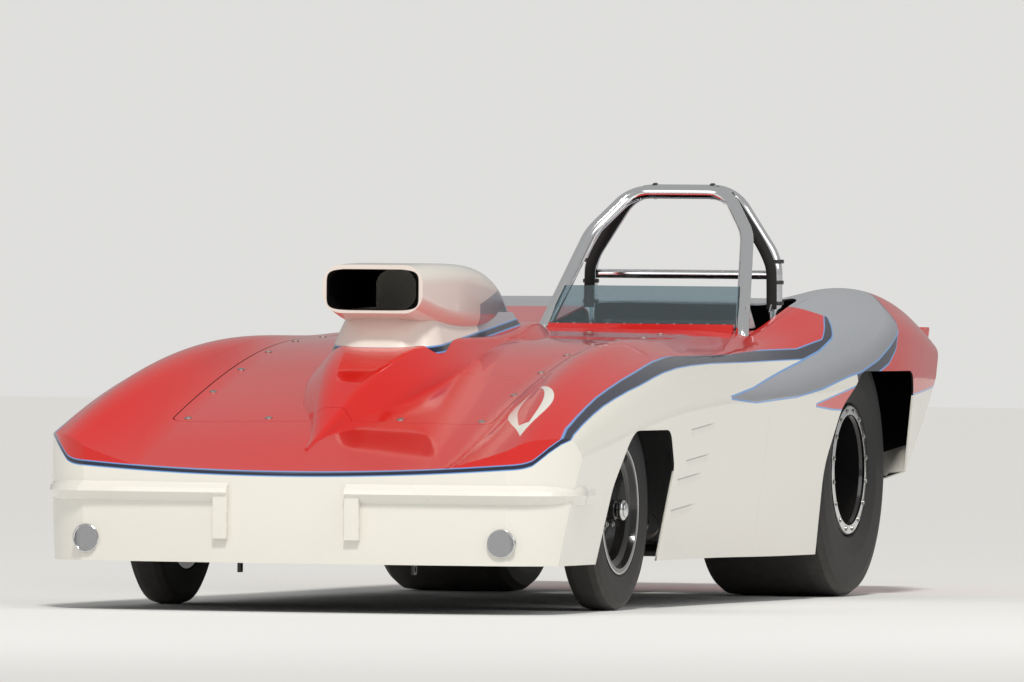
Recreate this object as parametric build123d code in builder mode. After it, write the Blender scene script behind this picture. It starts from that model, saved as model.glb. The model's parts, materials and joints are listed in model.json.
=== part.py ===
"""Drag racing roadster: light fibreglass body over a tube chassis.

+X is the car's left, +Y runs to the tail (the nose points to -Y), +Z is up.
Lengths along the car are written as "aft": millimetres behind the front axle.
The origin is on the ground under the middle of the car's bounding box.
"""
from build123d import *
from collections import namedtuple
from math import atan2, cos, degrees, pi, radians, sin, tan
import os

os.makedirs("parts", exist_ok=True)

# ---------------------------------------------------------------- main sizes
WHEELBASE = 2700.0
FRONT_TRACK = 1458.0
REAR_TRACK = 1142.0
NOSE_REACH = 1050.0          # nose centre ahead of the front axle
TAIL_REACH = 3900.0          # deck edge behind the front axle at the centre
SPOILER_REACH = 3970.0       # spoiler tip behind the front axle
BLADE_OUT = 26.0             # front bumper blades stand out of the nose

FRONT_TYRE_R = 322.5
FRONT_TYRE_W = 120.0
FRONT_BEAD_R = 190.5
FRONT_RIM_W = 102.0
REAR_TYRE_R = 426.5
REAR_TYRE_W = 450.0
REAR_BEAD_R = 190.5
REAR_RIM_W = 381.0

SKIN = 6.0                   # body shell thickness
SEAM = 3.0                   # gap between neighbouring panels
SEAT = 0.3                   # clearance of a piece on its seat

NOSE_CORNER = (700.0, -975.0)        # x, aft where the nose arc meets the corner
BLADE_LEG_X = 195.0                  # inner end of each front bumper blade
nose_rise = NOSE_REACH + NOSE_CORNER[1]
nose_arc_r = (NOSE_CORNER[0] ** 2 + nose_rise ** 2) / (2 * nose_rise)
BLADE_REACH = NOSE_REACH + BLADE_OUT - (nose_arc_r - (nose_arc_r ** 2 - BLADE_LEG_X ** 2) ** 0.5)
FRONT_AXLE_Y = (BLADE_REACH - SPOILER_REACH) / 2.0
REAR_AXLE_Y = FRONT_AXLE_Y + WHEELBASE


def at(aft):
    """Y of a point that lies aft millimetres behind the front axle."""
    return FRONT_AXLE_Y + aft


# ------------------------------------------------------- body section table
# Half sections of the outer skin, from the sill up and in to the centre line.
Station = namedtuple(
    "Station",
    "aft sill_x sill_z crease_x crease_z shoulder_x shoulder_z "
    "crown_x crown_z valley_x valley_z centre_z",
)
STATIONS = [
    Station(-1150, 838, 155, 872, 436, 866, 460, 745, 462, 520, 418, 405),
    Station(-800, 835, 155, 880, 492, 864, 560, 745, 612, 530, 528, 530),
    Station(-400, 830, 155, 884, 545, 852, 668, 692, 762, 538, 648, 658),
    Station(0, 815, 155, 884, 597, 842, 738, 655, 844, 542, 748, 762),
    Station(450, 798, 155, 878, 640, 824, 784, 634, 873, 545, 832, 846),
    Station(950, 792, 155, 868, 668, 808, 802, 626, 868, 545, 862, 874),
    Station(1450, 796, 152, 862, 682, 804, 812, 650, 874, 545, 882, 890),
    Station(1900, 806, 150, 864, 692, 820, 838, 695, 905, 545, 912, 916),
    Station(2350, 816, 150, 876, 705, 842, 886, 708, 1000, 545, 975, 978),
    Station(2900, 822, 150, 890, 735, 856, 915, 718, 1053, 545, 1000, 1003),
    Station(3300, 812, 150, 868, 740, 842, 900, 726, 1024, 570, 968, 972),
    Station(3650, 798, 150, 830, 735, 815, 850, 744, 912, 620, 884, 890),
    Station(4050, 784, 150, 790, 700, 786, 770, 750, 800, 650, 790, 795),
]
SILL_ROUND, CREASE_ROUND, SHOULDER_ROUND = 30.0, 70.0, 150.0
CROWN_ROUND, VALLEY_ROUND, CENTRE_ROUND = 110.0, 160.0, 2500.0

# Central power bulge that runs from a point on the nose back under the scoop.
Bulge = namedtuple("Bulge", "aft half_base half_top top_z")
BULGES = [
    Bulge(-850, 14, 5, 518),
    Bulge(-600, 96, 40, 640),
    Bulge(-150, 215, 130, 828),
    Bulge(350, 262, 190, 868),
    Bulge(900, 250, 180, 900),
    Bulge(1330, 190, 130, 889),
]
BULGE_ROUND = 26.0

NOSE_FLANK = (884.0, -640.0)         # x, aft where the corner meets the side
TAIL_CORNER = (790.0, 3790.0)        # x, aft of the deck's rear corner
TAIL_SLOPE = 0.80                    # rise over run of the rear face


def rounds(points, caps):
    """Corner radii for points, each limited by its two neighbouring runs."""
    radii = []
    for before, here, after, cap in zip(points, points[1:], points[2:], caps):
        a = (here[0] - before[0], here[1] - before[1])
        b = (after[0] - here[0], after[1] - here[1])
        turn = abs(atan2(a[0] * b[1] - a[1] * b[0], a[0] * b[0] + a[1] * b[1]))
        run = min((a[0] ** 2 + a[1] ** 2) ** 0.5, (b[0] ** 2 + b[1] ** 2) ** 0.5)
        radii.append(min(cap, 0.46 * run / tan(turn / 2)))
    return radii


def body_section(s, inset):
    """Closed face of one body station, drawn inset from the outer skin."""
    foot = s.sill_z if inset <= 0 else -60.0
    lean = (s.crease_x - s.sill_x) / (s.crease_z - s.sill_z)
    half = [
        (s.sill_x - inset - lean * (s.sill_z - foot), foot),
        (s.crease_x - inset, s.crease_z),
        (s.shoulder_x - inset, s.shoulder_z - inset * 0.5),
        (s.crown_x - inset * 0.3, s.crown_z - inset),
        (s.valley_x, s.valley_z - inset),
    ]
    points = half + [(0.0, s.centre_z - inset)] + [(-x, z) for x, z in reversed(half)]
    side = [CREASE_ROUND, SHOULDER_ROUND, CROWN_ROUND, VALLEY_ROUND]
    with BuildSketch(Plane.XZ.offset(-at(s.aft))) as section:
        with BuildLine():
            FilletPolyline(*points, radius=rounds(points, side + [CENTRE_ROUND] + side[::-1]))
            Line(points[-1], points[0])
        make_face()
    return section.sketch.face()


def bulge_section(b, inset):
    """Trapezoid of the power bulge with its foot well below the skin."""
    foot = 300.0
    points = [
        (b.half_base - inset * 0.5, foot),
        (b.half_base - inset * 0.5, b.top_z - 90 - inset),
        (max(b.half_top - inset * 0.3, 2.0), b.top_z - inset),
        (-max(b.half_top - inset * 0.3, 2.0), b.top_z - inset),
        (-b.half_base + inset * 0.5, b.top_z - 90 - inset),
        (-b.half_base + inset * 0.5, foot),
    ]
    with BuildSketch(Plane.XZ.offset(-at(b.aft))) as section:
        with BuildLine():
            FilletPolyline(*points, radius=rounds(points, [BULGE_ROUND * 3, BULGE_ROUND] * 2))
            Line(points[-1], points[0])
        make_face()
    return section.sketch.face()


def body_form(inset):
    """The whole closed body form, inset from the outer skin."""
    with BuildPart() as form:
        loft([body_section(s, inset) for s in STATIONS])
    with BuildPart() as spear:
        loft([bulge_section(b, inset) for b in BULGES])
    with BuildPart() as nose_and_sides:
        corner_x, corner_aft = NOSE_CORNER
        flank_x, flank_aft = NOSE_FLANK
        with BuildSketch(Plane.XY.offset(-80)):
            with BuildLine():
                ThreePointArc(
                    (-corner_x + inset * 0.5, at(corner_aft) + inset),
                    (0, at(-NOSE_REACH) + inset),
                    (corner_x - inset * 0.5, at(corner_aft) + inset),
                )
                ThreePointArc(
                    (corner_x - inset * 0.5, at(corner_aft) + inset),
                    (corner_x * 0.26 + flank_x * 0.74 - inset, at(corner_aft * 0.62 + flank_aft * 0.38) + inset * 0.7),
                    (flank_x + 6 - inset, at(flank_aft)),
                )
                Polyline(
                    (flank_x + 6 - inset, at(flank_aft)),
                    (flank_x + 100, at(0)),
                    (flank_x + 100, at(TAIL_REACH + 400)),
                    (-flank_x - 100, at(TAIL_REACH + 400)),
                    (-flank_x - 100, at(0)),
                    (-flank_x - 6 + inset, at(flank_aft)),
                )
                ThreePointArc(
                    (-flank_x - 6 + inset, at(flank_aft)),
                    (-corner_x * 0.26 - flank_x * 0.74 + inset, at(corner_aft * 0.62 + flank_aft * 0.38) + inset * 0.7),
                    (-corner_x + inset * 0.5, at(corner_aft) + inset),
                )
            make_face()
        extrude(amount=1400)
    with BuildPart() as tail:
        tail_x, tail_aft = TAIL_CORNER
        lift = 1100.0
        back = lift_aft = (lift - 850.0) / TAIL_SLOPE
        with BuildSketch(Plane.XY.offset(lift)):
            with BuildLine():
                ThreePointArc(
                    (tail_x + 160, at(tail_aft + lift_aft - 120) - inset),
                    (0, at(TAIL_REACH + lift_aft) - inset),
                    (-tail_x - 160, at(tail_aft + lift_aft - 120) - inset),
                )
                Polyline(
                    (-tail_x - 160, at(tail_aft + lift_aft - 120) - inset),
                    (-tail_x - 160, at(-3000)),
                    (tail_x + 160, at(-3000)),
                    (tail_x + 160, at(tail_aft + lift_aft - 120) - inset),
                )
            make_face()
        extrude(amount=2200, dir=(0, -1, -TAIL_SLOPE))
    return (form.part + spear.part) & nose_and_sides.part & tail.part


def slab(x0, x1, aft0, aft1, z0, z1):
    """Plain block between two corners, with its length given as aft."""
    with BuildPart() as block:
        with Locations(((x0 + x1) / 2, at((aft0 + aft1) / 2), (z0 + z1) / 2)):
            Box(x1 - x0, aft1 - aft0, z1 - z0)
    return block.part


def point(x, aft, z):
    return Vector(x, at(aft), z)


def tube(a, b, r):
    """Round bar from a to b, each (x, aft, z)."""
    start, end = point(*a), point(*b)
    with BuildPart() as bar:
        with BuildSketch(Plane(origin=start, z_dir=end - start)):
            Circle(r)
        extrude(amount=(end - start).length)
    return bar.part


def bent_tube(points, bends, r):
    """Round tube along points with the given bend radii."""
    path_points = [point(*p) for p in points]
    with BuildPart() as pipe:
        with BuildLine() as path:
            FilletPolyline(*path_points, radius=bends)
        with BuildSketch(Plane(origin=path_points[0], z_dir=path_points[1] - path_points[0])):
            Circle(r)
        sweep(path=path.line)
    return pipe.part


def side_prism(points, fillets, x0, x1):
    """Side-view outline (aft, z) with rounded corners, extruded from x0 to x1."""
    with BuildPart() as prism:
        with BuildSketch(Plane.YZ.offset(x0)):
            with BuildLine():
                FilletPolyline(*[(at(a), z) for a, z in points], radius=fillets, close=True)
            make_face()
        extrude(amount=x1 - x0)
    return prism.part


def plan_prism(points, fillets, z0, z1):
    """Plan outline (x, aft) with rounded corners, extruded from z0 to z1."""
    with BuildPart() as prism:
        with BuildSketch(Plane.XY.offset(z0)):
            with BuildLine():
                FilletPolyline(*[(x, at(a)) for x, a in points], radius=fillets, close=True)
            make_face()
        extrude(amount=z1 - z0)
    return prism.part


def turned(centre, side, profile):
    """Profile of (outboard, radius) turned about the wheel axis at centre."""
    x, aft, z = centre
    hub = Vector(x, at(aft), z)
    with BuildPart() as ring:
        with BuildSketch(Plane(origin=hub, x_dir=(1, 0, 0), z_dir=(0, -1, 0))):
            Polygon(*[(side * l, r) for l, r in profile], align=None)
        revolve(axis=Axis(hub, (1, 0, 0)))
    return ring.part


def joined(*shapes):
    with BuildPart() as whole:
        for s in shapes:
            add(s)
    return whole.part


def mirrored(shape):
    return shape.mirror(Plane.YZ)


def hand_in(shape, name):
    """Label one finished piece and write its STEP file."""
    shape.label = name
    export_step(shape, f"parts/{name}.step")


# ------------------------------------------------------------- wheel arches
FRONT_ARCH = [(-455, 60), (-345, 400), (-190, 578), (265, 578), (388, 455), (345, 60)]
FRONT_ARCH_ROUNDS = [5, 160, 150, 120, 60, 5]
REAR_ARCH = [(2185, 60), (2172, 440), (2300, 640), (2520, 760), (3120, 760), (3165, 690), (3195, 60)]
REAR_ARCH_ROUNDS = [5, 200, 200, 200, 40, 50, 5]
ARCH_IN, ARCH_OUT = 600.0, 1000.0

# ------------------------------------------------------------- panel edges
HOOD_FRONT, HOOD_REAR, HOOD_HALF = -590.0, 1440.0, 532.0
CLIP_REAR, REAR_CLIP_FRONT, COCKPIT_EDGE = 1480.0, 2452.0, 706.0
COWL_REAR = 1800.0
COCKPIT_REAR, COCKPIT_RIGHT, COCKPIT_LEFT = 2430.0, -30.0, 690.0
JOINT_LINE = 0.8             # butt joint between bonded panels

# ------------------------------------------------------------- roll cage sizes
CAGE_X = 330.0               # the cage is centred on the driver
HOOP_R = 22.5
MAIN_HOOP_HALF, FRONT_HOOP_HALF = 322.0, 348.0
MAIN_AFT = 2232.0
HOOP_TOP = 1380.0 - HOOP_R
LEG_LOW, LEG_STUB = 197.6, 480.0      # left legs stand on the frame, right legs end above the tunnel
FRONT_HOOP_PATH = [
    (CAGE_X + FRONT_HOOP_HALF, 1720, LEG_LOW), (CAGE_X + FRONT_HOOP_HALF, 1742, 870), (CAGE_X + 272, 2058, 1215),
    (CAGE_X + 165, 2184, HOOP_TOP - 4), (CAGE_X - 165, 2184, HOOP_TOP - 4), (CAGE_X - 272, 2058, 1215),
    (CAGE_X - FRONT_HOOP_HALF, 1742, 870), (CAGE_X - FRONT_HOOP_HALF, 1742, LEG_STUB)]
FRONT_HOOP_BENDS = [90, 200, 110, 110, 200, 90]
MAIN_HOOP_PATH = [
    (CAGE_X + MAIN_HOOP_HALF, 2100, LEG_LOW + 0.7), (CAGE_X + MAIN_HOOP_HALF, MAIN_AFT, 640),
    (CAGE_X + MAIN_HOOP_HALF, MAIN_AFT, 1130), (CAGE_X + 172, MAIN_AFT, HOOP_TOP),
    (CAGE_X - 172, MAIN_AFT, HOOP_TOP), (CAGE_X - MAIN_HOOP_HALF, MAIN_AFT, 1130),
    (CAGE_X - MAIN_HOOP_HALF, MAIN_AFT, LEG_STUB)]
MAIN_HOOP_BENDS = [140, 160, 130, 130, 160]
HOLE_GAP = 4.0

outer = body_form(0.0)
inner = body_form(SKIN)
seat_form = body_form(-SEAT)
shell = outer - inner

arches = joined(
    side_prism(FRONT_ARCH, FRONT_ARCH_ROUNDS, ARCH_IN, ARCH_OUT),
    side_prism(FRONT_ARCH, FRONT_ARCH_ROUNDS, -ARCH_OUT, -ARCH_IN),
    side_prism(REAR_ARCH, REAR_ARCH_ROUNDS, ARCH_IN, ARCH_OUT),
    side_prism(REAR_ARCH, REAR_ARCH_ROUNDS, -ARCH_OUT, -ARCH_IN),
)
hood_plan = [(-HOOD_HALF, HOOD_FRONT), (HOOD_HALF, HOOD_FRONT), (HOOD_HALF, HOOD_REAR), (-HOOD_HALF, HOOD_REAR)]
hood_hole = plan_prism(
    [(x + (SEAM if x > 0 else -SEAM), a + (SEAM if a > 0 else -SEAM)) for x, a in hood_plan],
    [20, 20, 20, 20], 300, 1200)
hood_cutter = plan_prism(hood_plan, [20, 20, 20, 20], 300, 1200)
cockpit = plan_prism(
    [(COCKPIT_RIGHT, COWL_REAR), (COCKPIT_LEFT, COWL_REAR), (COCKPIT_LEFT, COCKPIT_REAR), (COCKPIT_RIGHT, COCKPIT_REAR)],
    [60, 60, 90, 60], 600, 1200)

clip_zone = slab(-1200, 1200, -2000, CLIP_REAR, -200, 1500)
rear_zone = slab(-1200, 1200, REAR_CLIP_FRONT, 6000, -200, 1500)
middle = slab(-1200, 1200, CLIP_REAR + JOINT_LINE, REAR_CLIP_FRONT - JOINT_LINE, -200, 1500)
cowl_zone = slab(-COCKPIT_EDGE, COCKPIT_EDGE, CLIP_REAR + JOINT_LINE, COWL_REAR, 600, 1500)
cover_zone = slab(-COCKPIT_EDGE, COCKPIT_EDGE, COWL_REAR + JOINT_LINE, REAR_CLIP_FRONT - JOINT_LINE, 600, 1500)
left_zone = slab(COCKPIT_EDGE + JOINT_LINE, 1200, CLIP_REAR + JOINT_LINE, REAR_CLIP_FRONT - JOINT_LINE, -200, 1500)

hoop_holes = bent_tube(FRONT_HOOP_PATH, FRONT_HOOP_BENDS, HOOP_R + HOLE_GAP)
TAIL_FLOOR = 365.0
body = shell - arches - slab(-1200, 1200, 2600, 6000, -200, TAIL_FLOOR)
hood = shell & hood_cutter
front_clip = (body & clip_zone) - hood_hole
LEDGE_IN, LEDGE_OUT, LEDGE_T = 18.0, 14.0, 4.0


def hood_ring(inside, outside):
    """Ring in plan along the hood's edge, from inside it to outside it."""
    rings = []
    for d in (outside, -inside):
        rings.append(plan_prism([(x + (d if x > 0 else -d), a + (d if a > 0 else -d)) for x, a in hood_plan],
                                [20 + d] * 4 if d > 0 else [8] * 4, 300, 1200))
    return rings[0] - rings[1]


def under(form, drop, ring):
    return (form & ring).moved(Location((0, 0, -drop)))


ring_in, ring_out = hood_ring(LEDGE_IN, SEAM), hood_ring(-SEAM, LEDGE_OUT)
top_in, top_out = inner & ring_in, inner & ring_out
ledge_in = top_in.moved(Location((0, 0, -SEAT))) - top_in.moved(Location((0, 0, -SEAT - LEDGE_T)))
ledge_out = top_out - top_out.moved(Location((0, 0, -SEAT - LEDGE_T)))
high = slab(-700, 700, -700, 1500, 400, 1000)
print("ledges", len(ledge_in.solids()), len(ledge_out.solids()))
ledge_in, ledge_out = ledge_in & high, ledge_out & high
front_clip = joined(front_clip, ledge_out, ledge_in)
rear_clip = body & rear_zone
cowl = (body & cowl_zone) - hoop_holes
tonneau = (body & cover_zone) - cockpit - hoop_holes
side_left = body & left_zone
side_right = mirrored(side_left)
for piece, name in [
    (front_clip, "front_clip"), (hood, "hood"), (rear_clip, "rear_clip"), (cowl, "cowl"),
    (tonneau, "tonneau_cover"), (side_left, "body_side_left"), (side_right, "body_side_right"),
]:
    print(name, piece.is_valid, len(piece.solids()), round(piece.volume / 1e6, 3))
    hand_in(piece, name)

# ------------------------------------------------------------------ scoop
Pod = namedtuple("Pod", "aft half_width bottom top")
PODS = [
    Pod(-170, 168, 944, 1099),
    Pod(60, 178, 905, 1105),
    Pod(420, 172, 880, 1100),
    Pod(760, 138, 880, 1060),
    Pod(1060, 84, 880, 950),
]
POD_ROUND = 62.0
MOUTH_HALF_W, MOUTH_LOW, MOUTH_TOP, MOUTH_ROUND = 146.0, 957.0, 1085.0, 50.0
THROAT_DEPTH = 520.0
Ring = namedtuple("Ring", "z front rear half_width")
NECK = [Ring(760, -150, 1130, 205), Ring(860, -112, 1085, 176), Ring(950, -60, 1000, 140)]


def rounded_face(plane, x0, x1, y0, y1, r):
    with BuildSketch(plane) as face:
        with Locations(((x0 + x1) / 2, (y0 + y1) / 2)):
            RectangleRounded(x1 - x0, y1 - y0, r)
    return face.sketch.face()


with BuildPart() as pod:
    loft([rounded_face(Plane.XZ.offset(-at(p.aft)), -p.half_width, p.half_width, p.bottom, p.top,
                       min(POD_ROUND, 0.42 * (p.top - p.bottom))) for p in PODS])
with BuildPart() as neck:
    loft([rounded_face(Plane.XY.offset(r.z), -r.half_width, r.half_width, at(r.front), at(r.rear),
                       r.half_width * 0.8) for r in NECK])
with BuildPart() as throat:
    loft([rounded_face(Plane.XZ.offset(-at(PODS[0].aft - 5)), -MOUTH_HALF_W, MOUTH_HALF_W, MOUTH_LOW, MOUTH_TOP, MOUTH_ROUND),
          rounded_face(Plane.XZ.offset(-at(PODS[0].aft + THROAT_DEPTH)), -MOUTH_HALF_W, MOUTH_HALF_W, MOUTH_LOW - 30, MOUTH_TOP, MOUTH_ROUND)])
scoop = (joined(pod.part, neck.part) - throat.part) - seat_form
scoop = max(scoop.solids(), key=lambda q: q.volume)
hand_in(scoop, "hood_scoop")
print("scoop", scoop.is_valid, scoop.volume / 1e6)

# --------------------------------------------------- nose and tail furniture
BLADE_Z0, BLADE_Z1 = 369.0, 408.0
BLADE_LEG_W, BLADE_LEG_Z = 46.0, 231.0
BLADE_TIP_AFT = -560.0
SIGNAL_X, SIGNAL_Z, SIGNAL_R, SIGNAL_OUT = 688.0, 225.5, 42.0, 10.0

def nose_outline(out, z):
    """Face at height z inside the nose's plan outline, moved out by out at the front."""
    corner_x, corner_aft = NOSE_CORNER
    flank_x, flank_aft = NOSE_FLANK
    bend_x = corner_x * 0.26 + flank_x * 0.74 - 4 + out * 0.6
    bend_aft = corner_aft * 0.62 + flank_aft * 0.38 - out * 0.6
    end_x = BLADE_FLANK_X + out * 0.3
    with BuildSketch(Plane.XY.offset(z)) as outline:
        with BuildLine():
            ThreePointArc((-corner_x - out * 0.5, at(corner_aft) - out), (0, at(-NOSE_REACH) - out),
                          (corner_x + out * 0.5, at(corner_aft) - out))
            ThreePointArc((corner_x + out * 0.5, at(corner_aft) - out), (bend_x, at(bend_aft)), (end_x, at(flank_aft)))
            Polyline((end_x, at(flank_aft)), (end_x, at(0)), (-end_x, at(0)), (-end_x, at(flank_aft)))
            ThreePointArc((-end_x, at(flank_aft)), (-bend_x, at(bend_aft)), (-corner_x - out * 0.5, at(corner_aft) - out))
        make_face()
    return outline.sketch.face()


BLADE_FLANK_X, BLADE_EDGE_Z, BLADE_LEG_OUT = 862.0, 376.0, 18.0
with BuildPart() as blade_band:
    loft([nose_outline(2, BLADE_Z0 - 22), nose_outline(BLADE_OUT, BLADE_EDGE_Z), nose_outline(BLADE_OUT - 6, BLADE_EDGE_Z + 14),
          nose_outline(1, BLADE_Z1)], ruled=True)
with BuildPart() as leg_band:
    loft([nose_outline(BLADE_LEG_OUT, BLADE_LEG_Z), nose_outline(BLADE_LEG_OUT, BLADE_Z0)], ruled=True)
with BuildPart() as lens_band:
    loft([nose_outline(SIGNAL_OUT, SIGNAL_Z - 60), nose_outline(SIGNAL_OUT, SIGNAL_Z + 60)], ruled=True)
blade_zone = slab(BLADE_LEG_X, 1100, -1300, BLADE_TIP_AFT, BLADE_LEG_Z - 40, BLADE_Z1 + 20)
leg_zone = slab(BLADE_LEG_X, BLADE_LEG_X + BLADE_LEG_W, -1300, -800, BLADE_LEG_Z, BLADE_Z0)
bumper_left = joined(blade_band.part & blade_zone, leg_band.part & leg_zone) - seat_form
bumper_left = max(bumper_left.solids(), key=lambda q: q.volume)
hand_in(bumper_left, "bumper_front_left")
hand_in(mirrored(bumper_left), "bumper_front_right")
lens = (lens_band.part & tube((SIGNAL_X, -1200, SIGNAL_Z), (SIGNAL_X, -800, SIGNAL_Z), SIGNAL_R)) - seat_form
lens = max(lens.solids(), key=lambda q: q.volume)
hand_in(lens, "signal_left")
hand_in(mirrored(lens), "signal_right")

# rear bumper blades stand out of the undercut tail, with round lamps above them
REAR_BLADE_Z0, REAR_BLADE_Z1, REAR_BLADE_IN, REAR_BLADE_OUT = 612.0, 650.0, 270.0, 742.0
REAR_BLADE_AFT = 3885.0
with BuildPart() as rear_blade:
    for z, trim in ((REAR_BLADE_Z0, 14.0), (REAR_BLADE_Z0 + 16, 0.0), (REAR_BLADE_Z1, 10.0)):
        with BuildSketch(Plane.XY.offset(z)):
            with BuildLine():
                ThreePointArc((REAR_BLADE_IN, at(REAR_BLADE_AFT - trim)), (0.6 * REAR_BLADE_OUT, at(REAR_BLADE_AFT - 22 - trim)),
                              (REAR_BLADE_OUT - trim, at(REAR_BLADE_AFT - 110)))
                Polyline((REAR_BLADE_OUT - trim, at(REAR_BLADE_AFT - 110)), (REAR_BLADE_OUT - 40, at(3400)),
                         (REAR_BLADE_IN, at(3400)), (REAR_BLADE_IN, at(REAR_BLADE_AFT - trim)))
            make_face()
    loft(ruled=True)
BLADE_DEPTH, BLADE_LEGS = 34.0, (345.0, 610.0)
rear_strip = (rear_blade.part - rear_blade.part.moved(Location((0, -BLADE_DEPTH, 0)))) & slab(
    0, 900, REAR_BLADE_AFT - 110 - BLADE_DEPTH, 4000, 500, 800)
rear_legs = [rear_blade.part & slab(x - 14, x + 14, 3450, 4000, REAR_BLADE_Z0 + 4, REAR_BLADE_Z1 - 6) for x in BLADE_LEGS]
rear_blade = max((joined(rear_strip, *rear_legs) - seat_form).solids(), key=lambda q: q.volume)
print("rear blade", rear_blade.is_valid, rear_blade.volume)
hand_in(joined(rear_blade, mirrored(rear_blade)), "bumper_rear")

LAMP_R, LAMP_OUT, LAMP_Z, LAMP_XS = 50.0, 12.0, 700.0, (400.0, 560.0)
lamps = []
for lamp_x in LAMP_XS:
    back = at(TAIL_REACH - (850 - LAMP_Z) / TAIL_SLOPE) + 60
    with BuildPart() as lamp:
        with BuildSketch(Plane(origin=(lamp_x, back, LAMP_Z), x_dir=(1, 0, 0), z_dir=(0, -TAIL_SLOPE, 1 / (1 + TAIL_SLOPE)))):
            Circle(LAMP_R)
        extrude(amount=200)
    near = seat_form.moved(Location((0, LAMP_OUT, -LAMP_OUT * 0.6)))
    lamps.append(max(((lamp.part & near) - seat_form).solids(), key=lambda q: q.volume))
tail_lamps = joined(*lamps, *[mirrored(q) for q in lamps])
print("lamps", len(tail_lamps.solids()), tail_lamps.bounding_box())
hand_in(tail_lamps, "tail_lamps")

# ------------------------------------------------------------------- wheels
RIM_WALL = 5.0
FRONT_FLANGE_R, REAR_FLANGE_R = 208.0, 217.0
SPINDLE_R, BORE_GAP = 15.0, 0.8
FRONT_HUB = (FRONT_TRACK / 2, 0.0, FRONT_TYRE_R)
REAR_HUB = (REAR_TRACK / 2, WHEELBASE, REAR_TYRE_R)


def front_rim(side):
    b, f, h = FRONT_BEAD_R, FRONT_FLANGE_R, FRONT_RIM_W / 2
    bore = SPINDLE_R + BORE_GAP
    return turned((side * FRONT_HUB[0], 0.0, FRONT_HUB[2]), side, [
        (h + 4, f), (h, f), (h, b), (h - 13, b - 3), (h - 21, b - 21), (21 - h, b - 21), (13 - h, b - 3),
        (-h, b), (-h, f), (-h - 4, f), (-h - 4, b - 4), (9 - h, b - 8), (17 - h, b - 27), (-10, b - 27),
        (-10, 48), (-30, 42), (-30, bore), (15, bore), (15, 0), (52, 0), (49, 22), (40, 31), (10, 36),
        (6, 62), (-3, 90), (-3, b - 34), (h - 25, b - 27), (h - 15, b - 8), (h + 4, b - 2)])


def front_tyre(side):
    b, w, r, h = FRONT_BEAD_R + SEAT, FRONT_TYRE_W / 2, FRONT_TYRE_R, FRONT_RIM_W / 2 - SEAT
    out = [(h, b), (h, b + 17), (w - 4, b + 26), (w, b + 70), (w - 2, r - 24), (w - 12, r - 6), (w - 32, r)]
    return turned((side * FRONT_HUB[0], 0.0, FRONT_HUB[2]), side, out + [(-l, q) for l, q in reversed(out)])


def rear_rim(side):
    b, f, h = REAR_BEAD_R, REAR_FLANGE_R, REAR_RIM_W / 2
    return turned((side * REAR_HUB[0], REAR_HUB[1], REAR_HUB[2]), side, [
        (h + 16, f), (h, f), (h, b), (-h, b), (-h, b + 22), (-h - 6, b + 22), (-h - 6, b - 6), (-92, b - 6),
        (-92, 17 + BORE_GAP), (-72, 17 + BORE_GAP), (-72, 0), (-48, 0), (-48, 36), (-76, 62), (-78, b - 8), (h + 2, b - 6), (h + 16, b + 2)])


def rear_tyre(side):
    b, w, r, h = REAR_BEAD_R + SEAT, REAR_TYRE_W / 2, REAR_TYRE_R, REAR_RIM_W / 2 - SEAT
    out = [(h, b), (h, b + 27), (w - 14, b + 38), (w - 2, b + 100), (w, r - 62), (w - 8, r - 22), (w - 30, r - 4), (w - 80, r)]
    return turned((side * REAR_HUB[0], REAR_HUB[1], REAR_HUB[2]), side, out + [(-l, q) for l, q in reversed(out)])


for side, hand in [(1, "left"), (-1, "right")]:
    hand_in(front_rim(side), f"front_wheel_{hand}")
    hand_in(front_tyre(side), f"front_tyre_{hand}")
    hand_in(rear_rim(side), f"rear_wheel_{hand}")
    hand_in(rear_tyre(side), f"rear_tyre_{hand}")

# ---------------------------------------------------- knuckles and front end
KINGPIN_X = 680.0
ARM_GAP = 5.5
ARM_LOW_Z, ARM_HIGH_Z = 228.0, 418.0
STEER_ARM_AFT, STEER_ARM_X, STEER_ARM_Z = 118.0, 652.0, 262.0
PIVOT_X = 369.3
FZ = FRONT_HUB[2]

spindle_end = FRONT_HUB[0] + 15 - 2
upright = slab(KINGPIN_X - 17, KINGPIN_X + 13, -24, 24, ARM_LOW_Z + 20, ARM_HIGH_Z - 20)
spindle = tube((KINGPIN_X, 0, FZ), (spindle_end, 0, FZ), SPINDLE_R)
steer_arm = tube((KINGPIN_X - 4, 20, STEER_ARM_Z + 6), (STEER_ARM_X, STEER_ARM_AFT, STEER_ARM_Z), 9)
steer_eye = tube((STEER_ARM_X, STEER_ARM_AFT, STEER_ARM_Z - 9), (STEER_ARM_X, STEER_ARM_AFT, STEER_ARM_Z + 9), 14)
knuckle = joined(upright, spindle, steer_arm, steer_eye)
hand_in(knuckle, "knuckle_left")
hand_in(mirrored(knuckle), "knuckle_right")

low_ball = tube((KINGPIN_X, 0, ARM_LOW_Z - 14), (KINGPIN_X, 0, ARM_LOW_Z + 20 - SEAT), 15)
high_ball = tube((KINGPIN_X, 0, ARM_HIGH_Z - 20 + SEAT), (KINGPIN_X, 0, ARM_HIGH_Z + 14), 13)
lower_arm = [tube((PIVOT_X, a, ARM_LOW_Z - 10), (KINGPIN_X - 8, a * 0.06, ARM_LOW_Z), 12) for a in (-120, 120)]
upper_arm = [tube((PIVOT_X - 1.2, a, ARM_HIGH_Z + 12), (KINGPIN_X - 6, a * 0.06, ARM_HIGH_Z), 10) for a in (-90, 90)]
coil_foot, coil_head = (560, 0, ARM_LOW_Z), (420.3, 0, 610)
damper = [tube(coil_foot, coil_head, 14), tube((560, -50, ARM_LOW_Z - 4), (560, 50, ARM_LOW_Z - 4), 9)]
suspension = joined(low_ball, high_ball, *lower_arm, *upper_arm, *damper)
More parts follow.
